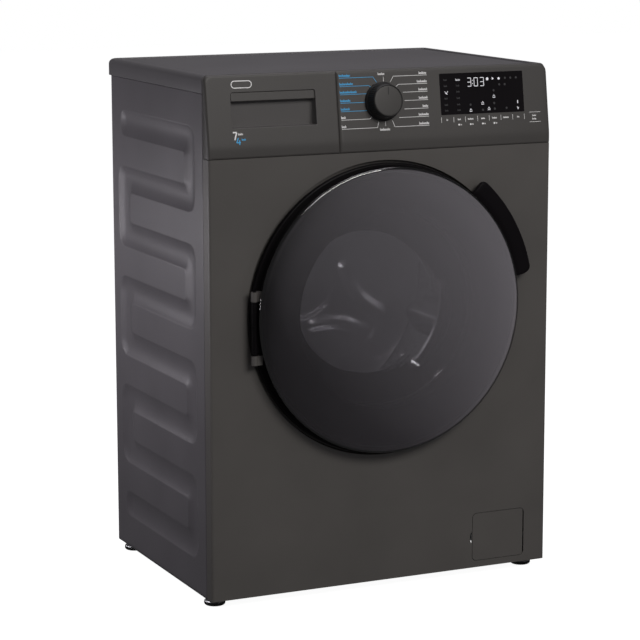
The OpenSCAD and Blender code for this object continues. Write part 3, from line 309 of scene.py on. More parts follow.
ink_dark = finish("ink_dark", (0.012, 0.012, 0.012), 0.50, grain=900, bump=0.1, drift=0.04)


def lit(name, colour, strength):
    """A printed or lit symbol behind the display window, whose brightness drifts a little."""
    material = finish(name, colour, 0.5)
    shader = material.node_tree.nodes["Principled BSDF"]
    shader.inputs["Emission Color"].default_value = (*colour, 1)
    shader.inputs["Emission Strength"].default_value = strength
    return material


lit_white = lit("lit_white", (0.70, 0.70, 0.74), 0.42)
unlit_grey = finish("unlit_grey", (0.030, 0.030, 0.033), 0.5, grain=900, bump=0.1)
print("materials so far:", len(bpy.data.materials))

# %% [markdown]
# ## Glass
#
# The door's outer cover is a smoke-tinted sheet and the bowl behind it is clear pressed glass. Light
# should pass straight through both, so each is a mix of a transparent shader, tinted, and a glossy
# one whose share follows Fresnel's law. That costs far less than true refraction and lets light
# reach the drum. The cover's index of 2.0 stands for a coated sheet, which mirrors more than plain
# glass does.


# %% Glass finishes
def clear_sheet(name, tint, roughness, ior, waviness):
    """Transparent tint and glossy reflection, mixed by Fresnel, with faint waves in the surface."""
    material = bpy.data.materials.new(name)
    material.use_nodes = True
    tree = material.node_tree
    tree.nodes.clear()
    place = node(tree, "ShaderNodeTexCoord").outputs["Object"]
    waves = node(tree, "ShaderNodeTexNoise", {"Vector": place, "Scale": 9.0, "Detail": 1.0}).outputs[0]
    relief = node(tree, "ShaderNodeBump", {"Strength": waviness, "Distance": 0.001,
                                           "Height": waves}).outputs[0]
    through = node(tree, "ShaderNodeBsdfTransparent", {"Color": (*tint, 1)}).outputs[0]
    gloss = node(tree, "ShaderNodeBsdfGlossy", {"Color": (1, 1, 1, 1), "Roughness": roughness,
                                                "Normal": relief}).outputs[0]
    share = node(tree, "ShaderNodeFresnel", {"IOR": ior, "Normal": relief}).outputs[0]
    mixed = node(tree, "ShaderNodeMixShader", {0: share, 1: through, 2: gloss}).outputs[0]
    node(tree, "ShaderNodeOutputMaterial", {"Surface": mixed})
    return material


smoked_glass = clear_sheet("smoked_glass", (0.62, 0.60, 0.62), 0.05, 2.0, 0.0)
bowl_glass = clear_sheet("bowl_glass", (0.93, 0.94, 0.94), 0.02, 1.50, 0.15)
print("glass finishes made")

# %% [markdown]
# ## How a new piece is made
#
# A surface is a grid of points worked out as one array, and its faces join neighbouring points. The
# helpers below turn such a grid into a mesh, weld its seams and poles, and hand it to the body that
# carries it.


# %% Helpers: a grid as a mesh
def grid_faces(rows, columns, round_rows, round_columns):
    """Four-cornered faces of a grid: each joins a point with the next one along the row and the same
    two on the next row. A round direction joins its last line to its first."""
    r = np.arange(rows if round_rows else rows - 1)[:, None]
    c = np.arange(columns if round_columns else columns - 1)[None, :]
    r2, c2 = (r + 1) % rows, (c + 1) % columns
    return np.stack([r * columns + c, r * columns + c2, r2 * columns + c2, r2 * columns + c],
                    axis=-1).reshape(-1, 4)


def surface(name, grids, material, body, replaces=(), round_rows=False, round_columns=False,
            closed=True, flip=False, uv=None, weld=0.002):
    """One piece from one or more grids of millimetre points. Closed pieces have their seams welded and
    their faces turned outwards."""
    grids = grids if isinstance(grids, list) else [grids]
    points, faces, start = [], [], 0
    for grid in grids:
        cells = grid_faces(grid.shape[0], grid.shape[1], round_rows, round_columns)
        faces.append((cells[:, ::-1] if flip else cells) + start)
        points.append(grid.reshape(-1, 3))
        start += grid.shape[0] * grid.shape[1]
    points, faces = np.concatenate(points) * MM, np.concatenate(faces)
    mesh = bpy.data.meshes.new(name)
    mesh.vertices.add(len(points))
    mesh.vertices.foreach_set("co", points.ravel())
    mesh.loops.add(faces.size)
    mesh.loops.foreach_set("vertex_index", faces.ravel())
    mesh.polygons.add(len(faces))
    mesh.polygons.foreach_set("loop_start", np.arange(0, faces.size, 4))
    mesh.update(calc_edges=True)
    if uv is not None:
        layer = mesh.uv_layers.new(name="along_the_surface")
        layer.data.foreach_set("uv", uv.reshape(-1, 2)[faces.ravel()].ravel())
    work = bmesh.new()
    work.from_mesh(mesh)
    bmesh.ops.remove_doubles(work, verts=work.verts, dist=weld * MM)
    if closed:
        bmesh.ops.recalc_face_normals(work, faces=work.faces)
    work.to_mesh(mesh)
    work.free()
    return piece(name, mesh, material, body, replaces)


def piece(name, mesh, material, body, replaces=()):
    """Puts a mesh in the scene with its finish, and hands it to its body."""
    mesh.polygons.foreach_set("use_smooth", np.ones(len(mesh.polygons), bool))
    mesh.materials.append(material)
    made = bpy.data.objects.new(name, mesh)
    bpy.context.scene.collection.objects.link(made)
    if body:
        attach(made, body)
    if replaces:
        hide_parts(*replaces)
    print(name, len(mesh.polygons), "faces")
    return made


# %% Helpers: soft corners and turned shapes
def softened(corners, radius, steps=5, closed=False):
    """A polyline whose corners are replaced by short curves. Each curve is a quadratic one that starts
    and ends at the radius, or at half the edge, from its corner."""
    corners = np.array(corners, float)
    before, after = np.roll(corners, 1, axis=0), np.roll(corners, -1, axis=0)
    back, ahead = before - corners, after - corners
    reach_back = np.linalg.norm(back, axis=1, keepdims=True)
    reach_ahead = np.linalg.norm(ahead, axis=1, keepdims=True)
    radius = np.broadcast_to(np.array(radius, float).reshape(-1, 1), reach_back.shape)
    start = corners + back / np.maximum(reach_back, 1e-9) * np.minimum(radius, reach_back * 0.48)
    end = corners + ahead / np.maximum(reach_ahead, 1e-9) * np.minimum(radius, reach_ahead * 0.48)
    t = np.linspace(0, 1, steps)[None, :, None]
    curve = (1 - t) ** 2 * start[:, None] + 2 * t * (1 - t) * corners[:, None] + t ** 2 * end[:, None]
    if closed:
        return curve.reshape(-1, 2)
    return np.concatenate([corners[:1], curve[1:-1].reshape(-1, 2), corners[-1:]])


def turned(profile, steps=192):
    """A profile of (radius, distance in front of the panel) carried round the door's axis: x is the
    radius times the cosine, z the door's height plus the radius times the sine."""
    angle = np.linspace(0, 2 * np.pi, steps, endpoint=False)[None, :]
    r, proud = np.array(profile, float)[:, 0:1], np.array(profile, float)[:, 1:2]
    return np.stack([r * np.cos(angle), FRONT - proud + 0 * angle, DOOR_Z + r * np.sin(angle)], axis=-1)


def tube(path, radius, sides=12):
    """A tube along a path of points, with a radius for each. The ring's two directions are square to
    the path, the first one as near to the given side direction as can be."""
    path = np.array(path, float)
    along = np.gradient(path, axis=0)
    along /= np.linalg.norm(along, axis=1, keepdims=True)
    guide = np.array([0.13, 0.97, 0.21])
    first = np.cross(along, guide)
    first /= np.linalg.norm(first, axis=1, keepdims=True)
    second = np.cross(along, first)
    turn = np.linspace(0, 2 * np.pi, sides, endpoint=False)[None, :, None]
    ring = np.cos(turn) * first[:, None] + np.sin(turn) * second[:, None]
    wall = path[:, None] + ring * np.broadcast_to(radius, len(path))[:, None, None]
    ends = [np.repeat(path[:1, None], sides, axis=1), np.repeat(path[-1:, None], sides, axis=1)]
    return np.concatenate([ends[0], wall, ends[1]])


print("helpers ready")

# %% [markdown]
# ## The side panels
#
# A long channel is pressed into each side to stiffen the sheet. It runs to and fro eight times, and
# its floor is a shallow trough. The depth at any point follows from how far the point lies inside
# the channel's outline, and that distance comes from round-cornered boxes put together: one for
# each bend, less the tongue of flat sheet that it goes round. Sculpting or an image of heights could
# press the sheet too, but a formula keeps every bend alike and the edges where they belong.

# %% Distance to the channel's outline
CHANNEL_RUNS = RIM_UNDER - 74 - 92.3 * np.arange(8)
CHANNEL_FRONT, CHANNEL_REAR = FRONT + 55, FRONT + 390
CHANNEL_DEPTH = 5.0


def round_box(y, z, low, high, radius):
    """Distance to a box with round corners, below zero inside: the distance to the box of the
    corners' centres, less the radius."""
    away_y = np.abs(y - (low[0] + high[0]) / 2) - (high[0] - low[0]) / 2 + radius
    away_z = np.abs(z - (low[1] + high[1]) / 2) - (high[1] - low[1]) / 2 + radius
    outside = np.hypot(np.maximum(away_y, 0), np.maximum(away_z, 0))
    return outside + np.minimum(np.maximum(away_y, away_z), 0) - radius


def channel_distance(y, z):
    """Distance to the whole channel: the least of the distances to its bends and its free ends."""
    middle = (CHANNEL_FRONT + CHANNEL_REAR) / 2
    nearest = np.full(np.broadcast(y, z).shape, 1e3)
    for k in range(7):
        top, low = CHANNEL_RUNS[k], CHANNEL_RUNS[k + 1]
        if k % 2 == 0:
            bend = round_box(y, z, (CHANNEL_FRONT, low - 20), (middle + 60, top + 20), 27)
            tongue = round_box(y, z, (CHANNEL_FRONT + 40, low + 20), (middle + 120, top - 20), 7)
        else:
            bend = round_box(y, z, (middle - 60, low - 20), (CHANNEL_REAR, top + 20), 27)
            tongue = round_box(y, z, (middle - 120, low + 20), (CHANNEL_REAR - 50, top - 20), 7)
        nearest = np.minimum(nearest, np.maximum(bend, -tongue))
    for z_run in CHANNEL_RUNS[[0, 7]]:
        free_end = round_box(y, z, (middle - 60, z_run - 20), (CHANNEL_REAR - 14, z_run + 20), 18)
        nearest = np.minimum(nearest, free_end)
    return nearest


print("channel runs at", np.round(CHANNEL_RUNS, 1))

# %% Press the side panels
CHANNEL_EDGES = np.array([CHANNEL_FRONT, CHANNEL_FRONT + 40, CHANNEL_REAR - 50, CHANNEL_REAR - 14,
                          CHANNEL_REAR])


def fine_lines(start, end, step, edges):
    """Places of grid lines: evenly spaced, with close ones added on both sides of each edge."""
    even = np.arange(start, end, step)
    close = (edges[:, None] + np.array([-2.6, -1.6, -0.8, 0.0, 0.8, 1.6, 3.0, 5.0])).ravel()
    lines = np.sort(np.concatenate([even, close[(close > start) & (close < end)], [end]]))
    return lines[np.concatenate([[True], np.diff(lines) > 0.35])]


def side_panel(side):
    """The panel's section, from its front fold round to its rear fold, carried up the cabinet, and
    pressed inwards by a rounded function of the distance inside the channel."""
    fold = softened([(0, side_low[1]), (14, side_low[1]), (14, side_high[1]), (0, side_high[1])], 2.0, 4)
    flat = fine_lines(side_low[1] + 3, side_high[1] - 3, 4.2, CHANNEL_EDGES)
    out = np.concatenate([fold[:5, 0], np.full(len(flat), 14.0), fold[-5:, 0]])
    y = np.concatenate([fold[:5, 1], flat, fold[-5:, 1]])
    z = fine_lines(side_low[2], side_high[2], 5.0,
                   np.concatenate([CHANNEL_RUNS - 20, CHANNEL_RUNS + 20]))[:, None]
    inside = np.clip((1.5 - channel_distance(y[None, :], z)) / 21.5, 0, 1)
    pressed = CHANNEL_DEPTH * (1 - (1 - inside) ** 2.0)
    x = side * (HALF_W - 14 + out[None, :] - pressed)
    return np.stack([x, y[None, :] + 0 * z, z + 0 * y[None, :]], axis=-1)


for side, name in ((-1, "left_side_panel"), (1, "right_side_panel")):
    panel = surface(name.replace("panel", "sheet"), side_panel(side), side_paint, "cabinet",
                    (name,), closed=False, flip=side > 0)
    wall = panel.modifiers.new("sheet_metal", "SOLIDIFY")
    wall.thickness, wall.offset = 0.001, -1.0

# %% [markdown]
# ## The worktop
#
# The worktop is a board held in a moulded rim. The rim's outer edge is generously rounded. Both come
# from one outline, a rectangle with its own radius at each corner, which is moved inwards step by
# step while the height changes. A bevelled block would be quicker, but all its edges would be round
# to the same degree.


# %% Helper: outline of a plate
def plate_outline(low, high, radii, inset=0.0, give=(1, 1, 1, 1), sides=(24, 10), steps=8):
    """Points round a rectangle, anticlockwise from its lower left corner. Each corner is a quarter
    circle. The inset moves the left, right, lower and upper side by its own share of it."""
    left, right = low[0] + inset * give[0], high[0] - inset * give[1]
    bottom, top = low[1] + inset * give[2], high[1] - inset * give[3]
    radii = np.maximum(np.array(radii, float) - inset * min(give), 0.02)
    centres = np.array([(left + radii[0], bottom + radii[0]), (right - radii[1], bottom + radii[1]),
                        (right - radii[2], top - radii[2]), (left + radii[3], top - radii[3])])
    start = np.radians([180, 270, 0, 90])
    lines = []
    for k in range(4):
        turn = start[k] + np.linspace(0, np.pi / 2, steps)
        arc = centres[k] + radii[k] * np.stack([np.cos(turn), np.sin(turn)], axis=1)
        turn_next = start[(k + 1) % 4]
        goal = centres[(k + 1) % 4] + radii[(k + 1) % 4] * np.array([np.cos(turn_next), np.sin(turn_next)])
        t = np.linspace(0, 1, sides[k % 2] + 1, endpoint=False)[1:, None]
        lines.append(np.concatenate([arc, arc[-1] + (goal - arc[-1]) * t]))
    return np.concatenate(lines)


def towards(outline, centre, share):
    """An outline drawn in towards a point by a share of the way."""
    return outline + (np.array(centre, float) - outline) * share


print("points round a plate:", len(plate_outline((0, 0), (100, 100), (1, 1, 1, 1))))

# %% Worktop rim and board
TOP_LOW, TOP_HIGH, TOP_R = top_low[:2], top_high[:2], (2.0, 2.0, 10.0, 10.0)
TOP_GIVE = (1, 1, 0.25, 1)
curve = np.linspace(0, np.pi / 2, 8)
rim_levels = ([(1.4, RIM_UNDER), (0.3, RIM_UNDER + 0.4), (0, RIM_UNDER + 1.5)]
              + [(9 - 9 * math.cos(a), TOP - 9 + 9 * math.sin(a)) for a in curve]
              + [(13, TOP), (14.4, TOP - 0.3), (15.2, TOP - 1.6), (15.4, TOP - 3), (15.4, RIM_UNDER + 3),
                 (15.4, RIM_UNDER)])


def plate(levels, low, high, radii, give):
    """A plate from (inset, share drawn in, height) levels: the outline of each level, lifted."""
    middle = (np.array(low) + np.array(high)) / 2
    rows = []
    for inset, share, height in levels:
        ring = towards(plate_outline(low, high, radii, inset, give), middle, share)
        rows.append(np.concatenate([ring, np.full((len(ring), 1), height)], axis=1))
    return np.stack(rows)


rim = plate([(inset, 0, height) for inset, height in rim_levels], TOP_LOW, TOP_HIGH, TOP_R, TOP_GIVE)
surface("worktop_rim", rim, worktop_laminate, "cabinet", ("worktop_frame",),
        round_rows=True, round_columns=True)

board_levels = [(15.6, 1, RIM_UNDER + 3), (15.6, 0.5, RIM_UNDER + 3), (15.6, 0, RIM_UNDER + 3),
                (15.6, 0, TOP - 3), (15.9, 0, TOP - 2.3), (16.8, 0, TOP - 2)]
board_levels += [(16.8, share, TOP - 2) for share in np.linspace(0.1, 1, 10)]
surface("worktop_plate", plate(board_levels, TOP_LOW, TOP_HIGH, TOP_R, TOP_GIVE), worktop_laminate,
        "cabinet", ("worktop_board",), round_columns=True)

# %% [markdown]
# ## The fascia
#
# The control fascia and the drawer front are hollow mouldings. Both lean back above a soft crease
# and have rounded edges. Bending a flat block with a modifier would blur the crease. So a point on
# them is given by its place across the front and its depth, and the lean is then added, fading out
# towards the straight rear edge.

# %% The lean and the mouldings' depth
CREASE = 729.0
LEAN = 16.0 / 111.0
RETURN = 22.0


def lean(z):
    """How far the face lies behind the panel at a height: zero below the crease and rising by a fixed
    share above it, with a soft change between."""
    return LEAN * 2.5 * np.logaddexp(0, (z - CREASE) / 2.5)


def leaning(rows):
    """Turns (x, z, depth) rows into points in space."""
    rows = np.array(rows)
    x, z, depth = rows[..., 0], rows[..., 1], rows[..., 2]
    fade = np.clip((RETURN - depth) / 8.0, 0, 1)
    return np.stack([x, FRONT + depth + lean(z) * np.where(depth > RETURN, 0, fade), z], axis=-1)


def ring_rows(levels, low, high, radii, give, centre, sides=(60, 30)):
    """Outlines of a moulding as (x, z, depth) rows, one for each (inset, share drawn in, depth)."""
    rows = []
    for inset, share, depth in levels:
        ring = towards(plate_outline(low, high, radii, inset, give, sides), centre, share)
        rows.append(np.concatenate([ring, np.full((len(ring), 1), depth)], axis=1))
    return rows


edge_levels = [(1.0, 0, RETURN), (0.3, 0, RETURN - 0.3), (0, 0, RETURN - 1), (0, 0, 8), (0, 0, 4)]
edge_levels += [(4 - 4 * math.cos(a), 0, 4 - 4 * math.sin(a)) for a in np.linspace(0.2, np.pi / 2, 6)]
print("lean", round(math.degrees(math.atan(LEAN)), 2), "degrees above", CREASE, "mm")

# %% Fixed fascia
fascia_low, fascia_high = box_mm("control_fascia")
FASCIA = ((fascia_low[0], fascia_low[2]), (fascia_high[0], fascia_high[2]))
fascia_give = (0.06, 1, 0.10, 0.8)
fascia_middle = (110.0, 776.0)
face_levels = [(4.0, s, 0.0) for s in np.linspace(0.04, 1, 26)]
fascia_rows = ring_rows(edge_levels + face_levels, *FASCIA, (0.5, 1.5, 13, 0.5), fascia_give, fascia_middle)
surface("fascia_moulding", leaning(fascia_rows), fascia_plastic, "cabinet",
        ("control_fascia",),
        closed=False, round_columns=True)

# %% Drawer front with its grip
DRAWER = ((-HALF_W, fascia_low[2]), (-77.9, TOP))
GRIP_LOW, GRIP_HIGH, GRIP_R = (-257.0, 759.0), (-115.0, 813.0), (1.5, 1.5, 4, 4)
GRIP_DEPTH = 20.0
EVEN = (1, 1, 1, 1)
grip_middle = ((GRIP_LOW[0] + GRIP_HIGH[0]) / 2, (GRIP_LOW[1] + GRIP_HIGH[1]) / 2)


def grip_outline(inset):
    """The grip's outline, moved inwards by the inset."""
    return plate_outline(GRIP_LOW, GRIP_HIGH, GRIP_R, inset, EVEN, (60, 30))


def at_depth(outline, depth):
    """An outline with the same depth at each of its points."""
    return np.concatenate([outline, np.full((len(outline), 1), depth)], axis=1)


outer = ring_rows(edge_levels, *DRAWER, (1.5, 0.5, 0.5, 9), (1, 0.06, 0.10, 0.8), grip_middle)
hole = grip_outline(-0.8)
face = [at_depth(outer[-1][:, :2] * (1 - s) + hole * s, 0.0) for s in np.linspace(0.06, 1, 18)]
surface("drawer_moulding", leaning(outer + face), fascia_plastic, "drawer",
        ("drawer_front",),
        closed=False, round_columns=True)
walls = [at_depth(grip_outline(inset), depth)
         for inset, depth in ((-0.8, 0), (-0.2, 0.2), (0, 0.8), (0, 3), (0, GRIP_DEPTH))]
backs = [at_depth(towards(grip_outline(0.0), grip_middle, share), GRIP_DEPTH + 1.5 * share)
         for share in (0.02, 0.25, 0.5, 0.75, 1.0)]
# The recess takes the lighter copy of the plastic, whose extra brightness is painted light.
surface("drawer_grip", leaning(walls + backs), recess_painted_light, "drawer",
        closed=False, round_columns=True)

# %% Lip above the grip
lip_levels = [(2.0, 1, 7), (2.0, 0, 7), (0.4, 0, 6.4), (0, 0, 1.9), (0.3, 0, 1.1), (1.0, 0, 0.8),
              (1.0, 0.03, 0.8), (1.0, 0.5, 0.8), (1.0, 1, 0.8)]
LIP = ((GRIP_LOW[0] + 0.3, 799.2), (GRIP_HIGH[0] - 0.3, GRIP_HIGH[1] - 0.3))
lip_rows = ring_rows(lip_levels, *LIP, (0.8, 0.8, 3.7, 3.7), EVEN, (grip_middle[0], 806.0))
surface("grip_lip", leaning(lip_rows), fascia_plastic, "drawer", round_columns=True)

# %% [markdown]
# ## The display and the programme knob
#
# Both sit on the leaning face, so they are drawn on a flat sheet of their own, with one direction
# across, one up the slope and one out of it, and that sheet is then put on the fascia.

# %% Helper: from the flat sheet to the fascia
TILT = math.atan(LEAN)


def on_fascia(across, up, out, height=0.0):
    """A point of the sheet in space. The sheet's zero is on the fascia's face at a given height."""
    y = FRONT + LEAN * (height - CREASE) + up * math.sin(TILT) - out * math.cos(TILT)
    z = height + up * math.cos(TILT) + out * math.sin(TILT)
    return np.stack(np.broadcast_arrays(across, y, z), axis=-1)


print("tilt", round(math.degrees(TILT), 2), "degrees")

# %% Display window
DISPLAY = (178.0, 797.0)
HALF_WINDOW = np.array([75.5, 32.8])
window_levels = [(2, 1, -2.6), (2, 0, -2.6), (0, 0, -2.2), (0, 0, 0.1), (0.2, 0, 0.35), (0.7, 0, 0.45),
                 (0.7, 0.02, 0.45), (0.7, 0.5, 0.45), (0.7, 1, 0.45)]
window_rows = np.stack(ring_rows(window_levels, -HALF_WINDOW, HALF_WINDOW, (1.2,) * 4, EVEN, (0, 0)))
across, up, out = np.moveaxis(window_rows, -1, 0)
surface("display_pane", on_fascia(across + DISPLAY[0], up, out, DISPLAY[1]), display_black, "cabinet",
        ("display_window",), round_columns=True)

# %% Programme knob
KNOB_Z = 790.0
FLUTES, FLUTE_DEPTH = 48, 0.28


def knob_surface(profile, flutes=0.0, steps=240):
    """A profile of (radius, height out of the fascia) turned about the knob's axis. The flutes add a
    cosine wave to the radius, strongest half way up the wall."""
    profile = np.array(profile, float)
    turn = np.linspace(0, 2 * np.pi, steps, endpoint=False)[None, :]
    r, out = profile[:, 0:1], profile[:, 1:2]
    grip = np.clip(np.minimum(out - 6.5, 19.5 - out) / 2, 0, 1) * (r > 20)
    r = r + flutes * grip * np.cos(FLUTES * turn)
    return on_fascia(r * np.cos(turn), r * np.sin(turn), out + 0 * turn, KNOB_Z)


knob_profile = softened([(0, 0.2), (30.5, 0.2), (30.5, 4.6), (28.9, 5.4), (25.6, 20.6), (24.2, 22),
                         (22.8, 21.2), (0, 21.2)], (1, 0.6, 1.2, 0.6, 1.0, 1.0, 0.5, 1), 5)
foot_of_wall, share = 15, np.linspace(0, 1, 14)[:, None]
wall_line = (1 - share) * knob_profile[foot_of_wall] + share * knob_profile[foot_of_wall + 1]
knob_profile = np.concatenate([knob_profile[:foot_of_wall + 1], wall_line, knob_profile[foot_of_wall + 1:]])
surface("knob_body", knob_surface(knob_profile, FLUTE_DEPTH), knob_black, "knob",
        ("programme_knob",), round_columns=True)
cap_profile = softened([(0, 20.6), (23.4, 20.6), (23.4, 21.6), (22.6, 22.0), (0, 22.3)],
                        (1, 0.3, 0.4, 0.5, 1), 5)
surface("knob_cap", knob_surface(cap_profile), knob_grey, "knob", round_columns=True)

# %% [markdown]
# ## Printed marks and the display's symbols
#
# The guide lines, word-like marks and symbols are printed flat. An image could hold them, but real
# strokes stay sharp from near by and travel with the model. Each is a strip or a small polygon, and
# all of one ink make one mesh. The words are replaced by short bars of uneven height, which look like
# small type from a distance and say nothing.


# %% Helpers: strips, words and digits
def strip(a, b, width):
    """Four corners of a straight stroke from one point to another."""
    a, b = np.array(a, float), np.array(b, float)
    side = np.array([a[1] - b[1], b[0] - a[0]]) / np.linalg.norm(b - a) * width / 2
    return [a - side, b - side, b + side, a + side]


def line(points, width=0.7):
    """A stroke along several points, as one strip for each length."""
    return [strip(a, b, width) for a, b in zip(points[:-1], points[1:])]


def word(x, z, letters, size=3.0, right=False):
    """A row of bars in place of type. The pitch is about two thirds of the size, and some bars are
    taller than the rest."""
    pitch = size * 0.65
    x = x - letters * pitch if right else x
    bars = []
    for k in range(letters):
        tall = size * (1.35 if (k * 5) % 7 < 2 else 0.9)
        left = x + k * pitch
        bars.append(strip((left, z), (left, z + tall), size * 0.25))
        bars.append(strip((left + pitch * 0.55, z), (left + pitch * 0.55, z + size * 0.9), size * 0.22))
        across = z + size * (0.08 + 0.7 * (k % 2))
        bars.append(strip((left, across), (left + pitch * 0.6, across), size * 0.18))
    return bars


def round_spot(x, z, radius, sides=12):
    """A small disc as a regular polygon."""
    turn = np.linspace(0, 2 * np.pi, sides, endpoint=False)
    return list(np.stack([x + radius * np.cos(turn), z + radius * np.sin(turn)], axis=1))


SEGMENTS = {"0": "abcdef", "3": "abcdg"}


def digit(which, x, z, height, width=1.3):
    """A digit of seven strokes, of which the ones in its list are drawn."""
    scale, corner = np.array([height * 0.48, height / 2]), np.array([x, z])
    ends = {"a": ((0, 2), (1, 2)), "b": ((1, 2), (1, 1)), "c": ((1, 1), (1, 0)), "d": ((0, 0), (1, 0)),
            "e": ((0, 0), (0, 1)), "f": ((0, 1), (0, 2)), "g": ((0, 1), (1, 1))}
    return [strip(corner + scale * ends[s][0], corner + scale * ends[s][1], width) for s in SEGMENTS[which]]


def printed(name, shapes, material, body, out, place=None):
    """One flat mesh of polygons given in (across, height) on the face, lifted a hair off it, with
    every polygon facing forwards."""
    flat = np.concatenate([np.array(shape, float) for shape in shapes])
    first = np.cumsum([0] + [len(shape) for shape in shapes])
    faces = [list(range(a, b)) for a, b in zip(first[:-1], first[1:])]
    where = on_face(flat[:, 0], flat[:, 1], out) if place is None else place(flat, out)
    mesh = bpy.data.meshes.new(name)
    mesh.from_pydata((where * MM).tolist(), [], faces)
    mesh.update()
    normal = np.array([p.normal[1] for p in mesh.polygons])
    if (normal > 0).any():
        work = bmesh.new()
        work.from_mesh(mesh)
        bmesh.ops.reverse_faces(work, faces=[f for f in work.faces if f.normal.y > 0])
        work.to_mesh(mesh)
        work.free()
    return piece(name, mesh, material, body)


def on_face(x, z, out):
    """Points on the leaning face at true heights, lifted along the face's own direction."""
    return np.stack([x, FRONT + lean(z) - out * math.cos(TILT), z + out * math.sin(TILT)], axis=-1)


print("digits drawn:", ", ".join(SEGMENTS))

# %% Programme guide
line_heights = (828.5, 815.5, 803.0, 790.0, 777.0, 764.0, 750.0)
RIGHT_END, LEFT_END = 80.5, -72.5
right_starts = (((15.5, 819.5), (21.5, 828.5)), ((25.5, 812.5), (30.0, 815.5)), ((37.0, 803.0),),
                ((39.5, 790.0),), ((38.0, 777.0),), ((28.0, 764.0),), ((15.5, 760.0), (19.5, 750.0)))
left_ends = (((-14.0, 828.5), (-8.0, 820.0)), ((-22.0, 815.5), (-17.5, 812.0)), ((-26.0, 803.0),),
             ((-25.5, 790.0),), ((-25.5, 777.0),), ((-23.5, 764.0), (-17.5, 768.5)),
             ((-11.0, 750.0), (-8.5, 759.0)))
right_letters, left_letters = (7, 9, 8, 8, 5, 9, 9), (10, 12, 15, 9, 8, 4, 4)
white_marks = line([(4.0, 828.0), (4.0, 821.0)]) + line([(3.5, 759.0), (3.5, 752.0)])
white_marks += word(-5.0, 831.0, 6) + word(-6.5, 745.0, 9)
blue_marks = []
for k in range(7):
    white_marks += line([*right_starts[k], (RIGHT_END, line_heights[k])])
    white_marks += word(RIGHT_END, line_heights[k] + 1.8, right_letters[k], right=True)
    ink = blue_marks if k < 5 else white_marks
    ink += line([(LEFT_END, line_heights[k]), *left_ends[k]])
    ink += word(LEFT_END, line_heights[k] + 1.8, left_letters[k])
print("strokes:", len(white_marks) + len(blue_marks))

# %% Keys under the display, badge and load marks
for k, x in enumerate((102.5, 124.5, 145.5, 167.5, 188.5, 210.0, 231.5, 253.0)):
    white_marks += line([(x, 761.0), (x, 752.5)], 0.6)
    if k < 7:
        letters = (2, 4, 7, 5, 6, 7, 3)[k]
        white_marks += word(x + 11 - letters * 0.9, 755.5, letters, 2.2)
    if 0 < k < 5:
        white_marks += [round_spot(x + 9, 748.5, 1.6, 8)] + word(x + 12, 747.4, 2, 1.8)
white_marks += line([(262.5, 763.0), (283.0, 763.0)], 0.6) + line([(262.5, 747.5), (283.0, 747.5)], 0.6)
white_marks += word(268.0, 756.3, 5, 2.2) + word(268.0, 751.0, 5, 2.2)
BADGE = ((-256.0, 818.5), (-220.0, 831.5), (6.4,) * 4)
badge, badge_inner = (plate_outline(*BADGE, inset, sides=(8, 2)) for inset in (0.6, 1.9))
badge_next, inner_next = np.roll(badge, -1, axis=0), np.roll(badge_inner, -1, axis=0)
white_marks += list(np.stack([badge, badge_next, inner_next, badge_inner], axis=1))
white_marks += line([(-256.8, 753.0), (-250.6, 753.0), (-254.2, 741.5)], 2.2) + word(-248.2, 748.6, 5, 2.6)
blue_marks += line([(-248.4, 744.5), (-251.6, 737.4), (-244.6, 737.4)], 1.6)
blue_marks += line([(-246.4, 741.0), (-246.4, 734.0)], 1.7)
blue_marks += word(-242.4, 740.2, 4, 2.6)
DRAWER_EDGE = -78
for prefix, body in (("", "cabinet"), ("drawer_", "drawer")):
    for colour, marks, ink in (("white", white_marks, ink_white), ("blue", blue_marks, ink_blue)):
        here = [shape for shape in marks if (shape[0][0] <= DRAWER_EDGE) == (body == "drawer")]
        printed(prefix + colour + "_print", here, ink, body, 0.05)

# %% Display symbols
lit_shapes = []
for which, x in (("3", 152.5), ("0", 164.5), ("3", 175.5)):
    lit_shapes += digit(which, x, 808.0, 13.0, 1.0)
lit_shapes += [round_spot(161.6, 812.0, 0.7, 8), round_spot(161.6, 817.0, 0.7, 8)]
lit_shapes += [round_spot(188.5, 818.5, 2.4), [(197.0, 816.5), (197.0, 821.0), (200.8, 818.8)]]
lit_shapes += [round_spot(209.5, 818.5, 2.2, 6)] + word(131.5, 817.5, 5, 2.4)
lit_shapes += line([(111.0, 801.5), (113.5, 798.0), (116.5, 801.5)], 0.9)
lit_shapes += line([(111.5, 799.0), (115.5, 796.5)], 0.9)
for x, z in ((199.0, 790.0), (178.0, 780.0), (156.0, 769.5), (189.0, 771.0)):
    lit_shapes += line([(x - 2, z), (x, z + 3.2), (x + 2, z)], 0.8)
    lit_shapes += line([(x - 2.4, z - 1.2), (x + 2.4, z - 1.2)], 0.8)
lit_shapes += line([(242.0, 783.0), (242.0, 778.0)], 1.4)
lit_shapes += line([(240.8, 773.0), (242.0, 768.5), (243.4, 772.0)], 0.9)
dim_shapes = []
for x in (113.0, 135.0):
    for z in (818.0, 808.5, 799.0, 789.0, 779.0, 770.0):
        dim_shapes += word(x - 3, z, 4, 2.2)
for x, z in ((221.0, 819.0), (231.0, 819.0), (241.0, 819.0), (210.0, 809.0), (220.0, 809.0), (199.0, 800.0),
             (199.0, 780.0), (156.0, 779.0), (178.0, 770.0), (199.5, 771.0), (221.0, 771.5)):
    dim_shapes += [round_spot(x, z, 1.9, 8)]
printed("display_lit", lit_shapes, lit_white, "cabinet", 0.55)
printed("display_dim", dim_shapes, unlit_grey, "cabinet", 0.55)
CAP_TOP = 22.42
pointer = line([(0.3, 799.5), (1.0, 811.5)], 1.6)
printed("knob_pointer", pointer, ink_dark, "knob", 0,
        lambda flat, out: on_fascia(flat[:, 0], flat[:, 1] - KNOB_Z, CAP_TOP, KNOB_Z))

